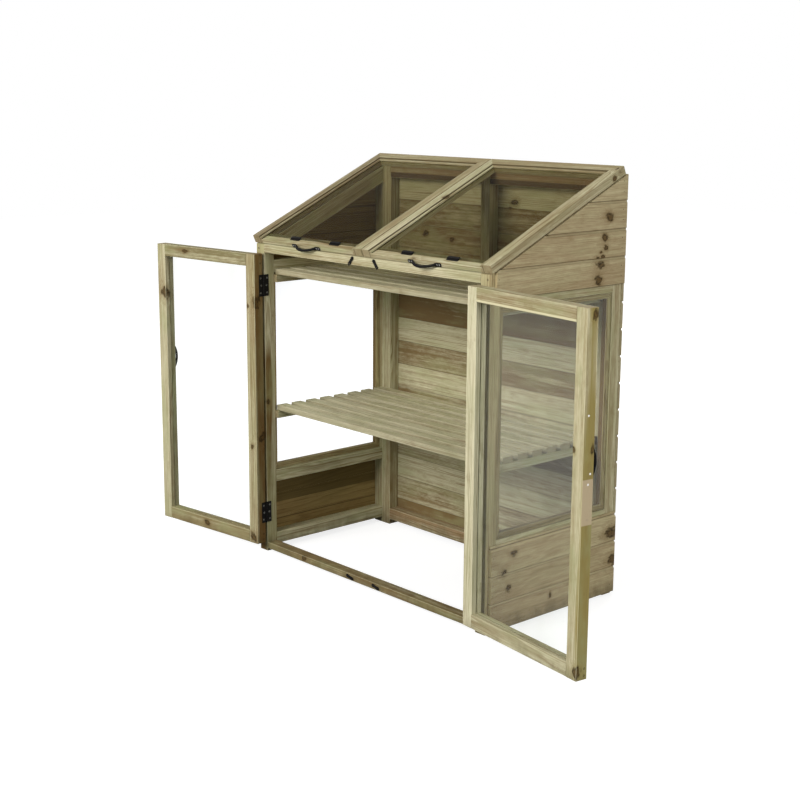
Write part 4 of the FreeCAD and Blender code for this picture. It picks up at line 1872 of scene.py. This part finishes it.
@dataclass
class Shelves:
    """Two slatted shelves on bearers."""

    shop: Workshop
    tops: tuple[float, float] = (562.0, 1074.0)
    slats: int = 8
    first_slat: float = -575.0
    pitch: float = 69.0
    slat_width: float = 45.0
    nail_x: float = 546.0

    def dress(self) -> None:
        """Gives each slat its log."""
        finish = Softwood(
            tone=0.05, tone_spread=0.5, contrast=0.5, streaks=1.6, ring_width=3.6,
            green_share=0.35, seam_share=0.35, pale=paint(210, 204, 170), tan=paint(170, 158, 122),
        )
        rows = Rows((0.0, 1.0, 0.0), self.first_slat, self.pitch, face=self.slat_width)
        self.shop.wood("lower_shelf_slats", finish, Along.ACROSS, 41.0, (), rows)
        self.shop.wood("upper_shelf_slats", finish, Along.ACROSS, 52.5, (), rows)
        bearers = Rows(UP, 0.0, 700.0, mirrored=True)
        self.shop.wood("shelf_bearers", Softwood(tone=0.5), Along.DEPTH, 63.0, (), bearers)

    def nail(self) -> None:
        """Nails each slat to its bearers."""
        heads = []
        for top in self.tops:
            for index in range(self.slats):
                y = self.first_slat + index * self.pitch + self.slat_width / 2
                for side in Side:
                    stand = facing(UP, (side.sign * self.nail_x, y, top))
                    heads.append(nail_head().placed(stand))
        self.shop.piece("slat_nails", heads, self.shop.finishes.hole, "frame")


@dataclass
class SideWindows:
    """Fixed side panes behind their beads."""

    shop: Workshop
    opening: tuple[float, float] = (310.0, 1062.0)
    bead: float = 20.0
    shaded_top: float = 1045.0

    def dress(self) -> None:
        """Dresses panes and beads."""
        for side in Side:
            self.shop.dress(side.value + "_side_pane", self.shop.finishes.side_pane)
        low, high = self.opening[0] + self.bead, self.opening[1] - self.bead
        # Dark brown on the beads' front faces, up to the shaded top, is painted shade.
        finish = Softwood(
            tone=0.4, knot_share=0.1, green_share=0.1, crossing=(low, high),
            pale=paint(182, 168, 126), tan=paint(142, 121, 82),
            patch=Patch(low, self.shaded_top, paint(102, 79, 42), TO_FRONT),
        )
        rows = Rows(UP, 0.0, 3000.0, mirrored=True)
        self.shop.wood("window_beads", finish, Along.UPRIGHT, 71.0, (), rows)


Timbers = dict[str, tuple[Softwood, Sequence[Knot]]]


@dataclass
class HungFrame:
    """Glazed frame that swings on two butt hinges and carries a bow pull."""

    shop: Workshop
    side: Side

    KIND = ""

    @property
    def body(self) -> str:
        """Body that it is, which also starts the names of its pieces."""
        return "%s_%s" % (self.side.value, self.KIND)

    def hinge(self) -> ButtHinge:
        """Its kind of hinge."""
        return ButtHinge()

    def hinge_places(self, fixed: bool) -> list[np.ndarray]:
        """Matrices that stand the fixed or the moving halves of its hinges."""
        raise NotImplementedError

    def pull_place(self) -> np.ndarray:
        """Matrix that stands the pull on it."""
        raise NotImplementedError

    def fit_pull(self) -> None:
        """Makes the pull and its screws."""
        pull, stand, name = BowPull(), self.pull_place(), self.body + "_pull"
        casting = [pull.casting().placed(stand)]
        self.shop.piece(name + "_casting", casting, self.shop.finishes.black, self.body, [name])
        heads = [head.placed(stand) for head in pull.screws()]
        self.shop.piece(name + "_screws", heads, self.shop.finishes.screw, self.body)

    def hinge_shapes(self, fixed: bool) -> tuple[list[Surface], list[Surface]]:
        """Leaves and screws of its hinges.

        Args:
            fixed: The halves on the frame, rather than those that move.

        Returns:
            Leaves with knuckles, and screws.
        """
        leaves, screws = [], []
        hinge = self.hinge()
        for stand in self.hinge_places(fixed):
            leaves += [shape.placed(stand) for shape in hinge.half(fixed)]
            screws += [shape.placed(stand) for shape in hinge.screws(fixed)]
        return leaves, screws

    def fit_hinges(self) -> None:
        """Makes the halves that move with it."""
        name, finishes = self.body + "_hinge", self.shop.finishes
        leaves, screws = self.hinge_shapes(False)
        self.shop.piece(name + "_halves", leaves, finishes.black, self.body, [name + "_leaves"])
        self.shop.piece(name + "_screws", screws, finishes.screw, self.body)


@dataclass
class Door(HungFrame):
    """One glazed door. Drawn closed on the left."""

    opened: float
    seed: float
    pin: tuple[float, float] = (-553.4, -629.0)
    front: float = -625.0
    outer: float = 551.8
    inner: float = 1.5
    stile: float = 45.0
    bottom: float = 37.0
    top: float = 1134.0
    hinge_heights: tuple[float, float] = (154.0, 1017.0)
    pull_height: float = 685.0
    edge_screw_depth: float = 11.0
    screws_up: tuple[float, float] = (12.0, 34.0)
    screws_down: tuple[float, float] = (35.0, 5.0)
    edge_pins: tuple[tuple[float, float], ...] = ((-600.0, 828.0), (-612.0, 658.0), (-605.0, 627.0))

    KIND = "door"

    def closed(self) -> np.ndarray:
        """Matrix from the closed left door to this door's frame."""
        return MIRROR if self.side is Side.RIGHT else np.eye(4)

    def place(self) -> np.ndarray:
        """Matrix from the closed left door to this door as drawn, open.

        Returns:
            The matrix.
        """
        x, y = self.pin
        swing = shift(x, y, 0) @ turn_about("Z", -self.opened) @ shift(-x, -y, 0)
        return MIRROR @ swing if self.side is Side.RIGHT else swing

    def hinge_places(self, fixed: bool) -> list[np.ndarray]:
        """Matrices that stand the halves on the post or on the door."""
        base = self.closed() if fixed else self.place()
        return [base @ shift(*self.pin, height) for height in self.hinge_heights]

    def pull_place(self) -> np.ndarray:
        """Matrix that stands the pull upright on the meeting stile."""
        stand = shift(-self.inner - self.stile / 2, self.front, self.pull_height)
        return self.place() @ stand @ turn_about("Z", -90.0) @ turn_about("Y", 90.0)

    def left_timbers(self) -> Timbers:
        """Finish and known knots of the left door's timbers.

        Returns:
            Both by the timber's name.
        """
        # Brown heart on the hinge edge: heartwood and painted shade where the open door faces its
        # post.
        hinge = Softwood(
            tone=0.5, green_share=0.25, pith=(-548.0, -650.0, 0.0), heart_reach=22.0,
            heart=paint(103, 76, 38),
        )
        meeting = Softwood(tone=0.22, green_share=0.45, contrast=0.6)
        rail = Softwood(tone=0.95, green_share=0.5, contrast=0.6, tan=paint(140, 128, 92))
        top = replace(rail, tan=paint(118, 111, 78))
        hinge_knots = (
            Knot((-585, -679, 942), 5.0),
            Knot((-573, -677, 413), 6.0),
            Knot((-571, -677, 62), 12.0),
            Knot((-551, -666, 958), 13.0, 1.5),
            Knot((-553, -646, 446), 11.0, 1.5),
        )
        return {
            "hinge_stile": (hinge, hinge_knots),
            "meeting_stile": (meeting, (Knot((-1058, -730, 946), 15.0, 1.3),)),
            "top_rail": (top, (Knot((-933, -716, 1117), 6.0, 1.9),)),
            "bottom_rail": (rail, (Knot((-838, -706, 63), 10.0, 1.2),)),
        }

    def right_timbers(self) -> Timbers:
        """Finish and known knots of the right door's timbers.

        Returns:
            Both by the timber's name.
        """
        meeting = Softwood(
            tone=0.25, green_share=0.5, contrast=0.5, pith=(1110.0, -735.5, 0.0), heart_reach=24.0,
            pale=paint(205, 198, 164), heart=paint(143, 129, 76), late=paint(128, 110, 66),
            patch=Patch(507.0, 642.0, paint(186, 168, 140), (0.99, -0.137, 0.0)),
        )
        light_edge = Patch(1087.0, 1097.0, paint(210, 202, 164), (-0.137, -0.99, 0.0))
        meeting_knots = (
            Knot((1098, -718, 727), 8.0, 1.4),
            Knot((1055, -745, 724), 6.0),
            Knot((1091, -750, 62), 11.0, 1.4),
            Knot((1098, -720, 1112), 8.0, 1.5),
            Knot((1097, -728, 523), 5.0, 0.5),
        )
        pale = paint(212, 206, 173)
        top = Softwood(tone=0.5, green_share=0.4, contrast=0.5, patch=light_edge)
        return {
            "hinge_stile": (Softwood(tone=0.0, green_share=0.25, contrast=0.4, pale=pale), ()),
            "meeting_stile": (meeting, meeting_knots),
            "top_rail": (top, ()),
            "bottom_rail": (Softwood(tone=0.08, green_share=0.45, contrast=0.5), ()),
        }

    def dress(self) -> None:
        """Dresses the four timbers and the pane."""
        left = self.side is Side.LEFT
        rail_way = Along.LEFT_DOOR if left else Along.RIGHT_DOOR
        timbers = self.left_timbers() if left else self.right_timbers()
        for index, (part, (finish, knots)) in enumerate(timbers.items()):
            way = Along.UPRIGHT if part.endswith("stile") else rail_way
            self.shop.wood("%s_%s" % (self.body, part), finish, way, self.seed + index, knots)
        self.shop.dress(self.body + "_pane", self.shop.finishes.door_pane)

    def fix_corners(self) -> None:
        """Sinks two screws through each stile into each rail, from the stiles' edges.

        Each is turned by as many degrees as it stands high. The right door has three nails in
        its free edge as well.
        """
        stand = self.place()
        screws = []
        depth = self.front + self.edge_screw_depth
        heights = [self.bottom + up for up in self.screws_up]
        heights += [self.top - down for down in self.screws_down]
        for x, way in ((-self.inner, 1.0), (-self.outer, -1.0)):
            for z in heights:
                head = screw_head(radius=3.4, rise=0.12, depth=1.4)
                screws.append(head.placed(stand @ facing((way, 0, 0), (x, depth, z), spin=z)))
        self.shop.piece(self.body + "_corner_screws", screws, self.shop.finishes.hole, self.body)
        if self.side is Side.RIGHT:
            pins = []
            for y, z in self.edge_pins:
                spot = facing((1, 0, 0), (-self.inner, y, z))
                pins.append(nail_head(3.4).placed(stand @ spot))
            self.shop.piece("right_door_edge_pins", pins, self.shop.finishes.nail, self.body)


@dataclass
class Lid(HungFrame):
    """One glazed roof lid with clips. Drawn flat on the left, Y up the slope."""

    seed: float
    clip_places: tuple[float, float]
    pitch: float = 24.5
    foot: tuple[float, float] = (-623.9, 1171.018)
    outer: float = 606.4
    inner: float = 1.75
    length: float = 679.0
    pane_front: float = 28.0
    front_rail_top: float = 16.0
    hinge_inset: float = 115.0
    pin_stand_off: float = 10.0
    seat_gap: float = 3.2
    leaf_width: float = 34.0
    quirk: float = 37.0

    KIND = "lid"

    def slope_way(self) -> Triple:
        """Direction straight up the slope."""
        lean = math.radians(self.pitch)
        return (0.0, math.cos(lean), math.sin(lean))

    def laid(self) -> np.ndarray:
        """Matrix that lays the flat left lid on the slope."""
        return shift(0, *self.foot) @ turn_about("X", self.pitch)

    def place(self) -> np.ndarray:
        """Matrix from the flat left lid to this lid as drawn, shut."""
        return MIRROR @ self.laid() if self.side is Side.RIGHT else self.laid()

    def hinge(self) -> ButtHinge:
        """Butt hinge with wider leaves."""
        return ButtHinge(leaf_width=self.leaf_width)

    def hinge_places(self, fixed: bool) -> list[np.ndarray]:
        """Matrices that lay the hinges behind the back edge. Shut, both halves lie alike.

        Args:
            fixed: Not used, as the halves lie alike.

        Returns:
            The matrices.
        """
        lie = turn_about("Z", 180.0) @ turn_about("Y", -90.0)
        y, z = self.length + self.pin_stand_off, -self.seat_gap / 2
        places = (-self.outer + self.hinge_inset, -self.inner - self.hinge_inset)
        return [self.place() @ shift(x, y, z) @ lie for x in places]

    def pull_place(self) -> np.ndarray:
        """Matrix that stands the pull on the front edge."""
        stand = shift(-(self.outer + self.inner) / 2, 0, self.front_rail_top / 2)
        return self.place() @ stand @ turn_about("X", 90.0)

    def timbers(self) -> Timbers:
        """Finish and known knots of its four members.

        Returns:
            Both by the member's name.
        """
        if self.side is Side.LEFT:
            outer = Softwood(tone=1.0, green_share=0.2, contrast=0.65, tan=paint(131, 118, 92))
            outer_knots = (Knot((-550, -262, 1367), 9.0, 1.6),)
            inner = Softwood(tone=0.5, green_share=0.35, contrast=0.7)
            inner_knots = ()
        else:
            outer = Softwood(tone=0.48, green_share=0.2, contrast=0.65)
            outer_knots = (Knot((596, -32, 1461), 9.0), Knot((606, -62, 1438), 6.0))
            inner = Softwood(tone=0.25, green_share=0.3, contrast=0.7)
            inner_knots = (Knot((40, -282, 1358), 7.0, 1.6),)
        along = self.slope_way()
        back_reach = float(np.dot(along, (0.0, *self.foot))) + self.length - self.quirk
        # Dark lines along the quirks and the back rail's groove: dirt and painted shade.
        outer_groove = Groove(TO_RIGHT, self.side.sign * (self.outer - self.quirk))
        inner_groove = Groove(TO_RIGHT, self.side.sign * (self.inner + self.quirk))
        back = Softwood(
            tone=0.8, green_share=0.2, contrast=0.65, groove=Groove(along, back_reach)
        )
        return {
            "outer_stile": (replace(outer, groove=outer_groove), outer_knots),
            "inner_stile": (replace(inner, groove=inner_groove), inner_knots),
            "back_rail": (back, ()),
            "front_rail": (Softwood(tone=0.6, green_share=0.6), ()),
        }

    def dress(self) -> None:
        """Dresses the four members and the pane."""
        for index, (part, (finish, knots)) in enumerate(self.timbers().items()):
            way = Along.SLOPE if part.endswith("stile") else Along.ACROSS
            self.shop.wood("%s_%s" % (self.body, part), finish, way, self.seed + index, knots)
        self.shop.dress(self.body + "_pane", self.shop.finishes.roof_pane)

    def fit_clips(self) -> None:
        """Makes the clips at the pane's front edge."""
        name = self.body + "_clips"
        strips = []
        for x in self.clip_places:
            stand = self.laid() @ shift(x, self.pane_front, self.front_rail_top)
            strips.append(PaneClip().strip().placed(stand))
        self.shop.piece(name + "_strips", strips, self.shop.finishes.black, self.body, [name])


@dataclass
class TurnButtons:
    """Four turn buttons that keep the doors shut: X, Z and the turn of each."""

    shop: Workshop
    front: float = -625.0
    places: tuple[tuple[str, float, float, float], ...] = (
        ("header_button_left", -55.5, 1161.0, 38.0),
        ("header_button_right", 55.5, 1161.0, -38.0),
        ("sill_button_left", -82.0, 25.0, -77.0),
        ("sill_button_right", 56.0, 25.0, -77.0),
    )

    def fit(self) -> None:
        """Makes each button and its screw."""
        button, black = TurnButton(), self.shop.finishes.black
        for name, x, z, angle in self.places:
            stand = shift(x, self.front, z) @ turn_about("Y", angle)
            shapes = [shape.placed(stand) for shape in button.casting()]
            self.shop.piece(name + "_casting", shapes, black, name, [name])
            self.shop.piece(name + "_screw", [button.screw().placed(stand)], black, name)


@dataclass(frozen=True)
class Lamp:
    """Square soft lamp: where it stands, what it faces, its side in metres and its watts."""

    name: str
    place: Triple
    aim: Triple
    size: float
    power: float

    def light(self) -> None:
        """Hangs it in the scene."""
        data = bpy.data.lights.new(self.name, "AREA")
        data.shape = "SQUARE"
        data.size = self.size
        data.energy = self.power
        lamp = bpy.data.objects.new(self.name, data)
        bpy.context.scene.collection.objects.link(lamp)
        turn = (Vector(self.aim) - Vector(self.place)).to_track_quat("-Z", "Y")
        lamp.matrix_world = Matrix.Translation(Vector(self.place)) @ turn.to_matrix().to_4x4()


@dataclass
class Studio:
    """Camera, lamps and the pale surroundings. Its lengths are in metres."""

    eye: Triple = (3.673, -3.789, 1.728)
    target: Triple = (0.0710, -0.6250, 0.7376)
    lens: float = 65.05
    sensor: float = 36.0
    shift_x: float = 0.0290
    shift_y: float = -0.0173
    roll: float = 0.16
    ambient: float = 0.145
    floor_reach: float = 14.0
    floor_grey: float = 0.36
    near_glow: tuple[float, float] = (0.8, 0.8)
    far_glow: tuple[float, float] = (2.6, 1.0)
    lamps: tuple[Lamp, ...] = (
        Lamp("key", (-0.4, -5.6, 3.0), (0.0, -0.5, 0.7), 2.4, 330.0),
        Lamp("side", (5.4, -1.2, 2.4), (0.3, -0.4, 0.7), 2.4, 162.0),
        Lamp("top", (-0.4, -0.8, 5.2), (0.0, -0.5, 0.5), 2.6, 25.0),
        Lamp("back", (-2.4, 5.2, 3.0), (0.0, -0.2, 0.7), 2.4, 190.0),
    )

    def set_camera(self) -> None:
        """Stands the camera where the photograph was taken."""
        data = bpy.data.cameras.new("camera")
        data.lens = self.lens
        data.sensor_width = self.sensor
        data.shift_x = self.shift_x
        data.shift_y = self.shift_y
        camera = bpy.data.objects.new("camera", data)
        bpy.context.scene.collection.objects.link(camera)
        look = Vector(self.target) - Vector(self.eye)
        turn = look.to_track_quat("-Z", "Y").to_matrix().to_4x4()
        turn = turn @ Matrix.Rotation(math.radians(self.roll), 4, "Z")
        camera.matrix_world = Matrix.Translation(Vector(self.eye)) @ turn
        bpy.context.scene.camera = camera

    def surroundings(self) -> None:
        """White to the camera, to gloss and through glass, and a soft even light to the rest."""
        world = bpy.data.worlds.new("surroundings")
        bpy.context.scene.world = world
        g = cleared(world)
        strength = g.math("MULTIPLY_ADD", shown_rays(g), 1.0 - self.ambient, self.ambient)
        sky = g.node("Background", {"Color": WHITE, "Strength": strength}).outputs[0]
        g.node("OutputWorld", {"Surface": sky})

    def floor(self) -> None:
        """Pale floor that stays white where no shadow falls."""
        mesh = bpy.data.meshes.new("floor")
        corners = [(x, y, 0.0) for x, y in ((-1, -1), (1, -1), (1, 1), (-1, 1))]
        mesh.from_pydata(np.array(corners) * self.floor_reach, [], [(0, 1, 2, 3)])
        made = bpy.data.materials.new("floor")
        g = cleared(made)
        away = g.length(g.node("TexCoord", {}).outputs["Object"])
        lit = g.node("BsdfDiffuse", {"Color": (self.floor_grey,) * 3}).outputs[0]
        (near, low), (far, high) = self.near_glow, self.far_glow
        strength = g.ease(away, near, far, low, high)
        glow = g.node("Emission", {"Color": WHITE, "Strength": strength}).outputs[0]
        pale = g.node("AddShader", {0: lit, 1: glow}).outputs[0]
        shader = g.node("MixShader", {0: shown_rays(g), 1: lit, 2: pale}).outputs[0]
        g.node("OutputMaterial", {"Surface": shader})
        mesh.materials.append(made)
        floor = bpy.data.objects.new("floor", mesh)
        bpy.context.scene.collection.objects.link(floor)

    def set_up(self) -> None:
        """Makes it all."""
        self.set_camera()
        self.surroundings()
        self.floor()
        for lamp in self.lamps:
            lamp.light()
        bpy.context.scene.view_settings.view_transform = "Standard"


def hang_fixed_halves(shop: Workshop, hung: Sequence[HungFrame], name: str, node: str) -> None:
    """Makes the hinge halves that stay on the frame.

    Args:
        shop: Where pieces are made.
        hung: Doors or lids whose hinges they are.
        name: That the names of the pieces start with.
        node: That the leaves stand for.
    """
    leaves, screws = [], []
    for owner in hung:
        more_leaves, more_screws = owner.hinge_shapes(True)
        leaves += more_leaves
        screws += more_screws
    shop.piece(name + "_halves", leaves, shop.finishes.black, "frame", [node])
    shop.piece(name + "_screws", screws, shop.finishes.screw, "frame")


def main() -> None:
    """Builds and dresses the greenhouse."""
    logging.basicConfig(level=logging.INFO, format="%(message)s")
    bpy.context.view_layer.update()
    Studio().set_up()
    effects = Effects.build()
    shop = Workshop(effects, Finishes.build(effects))

    carcass = Carcass(shop)
    carcass.dress_uprights()
    carcass.dress_rails()
    carcass.fix()
    cladding = Cladding(shop)
    cladding.dress_back()
    cladding.dress_sides()
    cladding.nail()
    shelves = Shelves(shop)
    shelves.dress()
    shelves.nail()
    SideWindows(shop).dress()

    doors = [Door(shop, Side.LEFT, 173.8, 81.0), Door(shop, Side.RIGHT, 172.1, 91.0)]
    for door in doors:
        door.dress()
        door.fit_pull()
        door.fit_hinges()
        door.fix_corners()
    left_lid = Lid(shop, Side.LEFT, 101.0, (-390.0, -172.0))
    lids = [left_lid, Lid(shop, Side.RIGHT, 111.0, (199.0, 413.0))]
    for lid in lids:
        lid.dress()
        lid.fit_pull()
        lid.fit_hinges()
        lid.fit_clips()
    hang_fixed_halves(shop, doors, "post_hinge", "door_post_leaves")
    hang_fixed_halves(shop, lids, "rail_hinge", "lid_rail_leaves")
    TurnButtons(shop).fit()


if __name__ == "__main__":
    main()
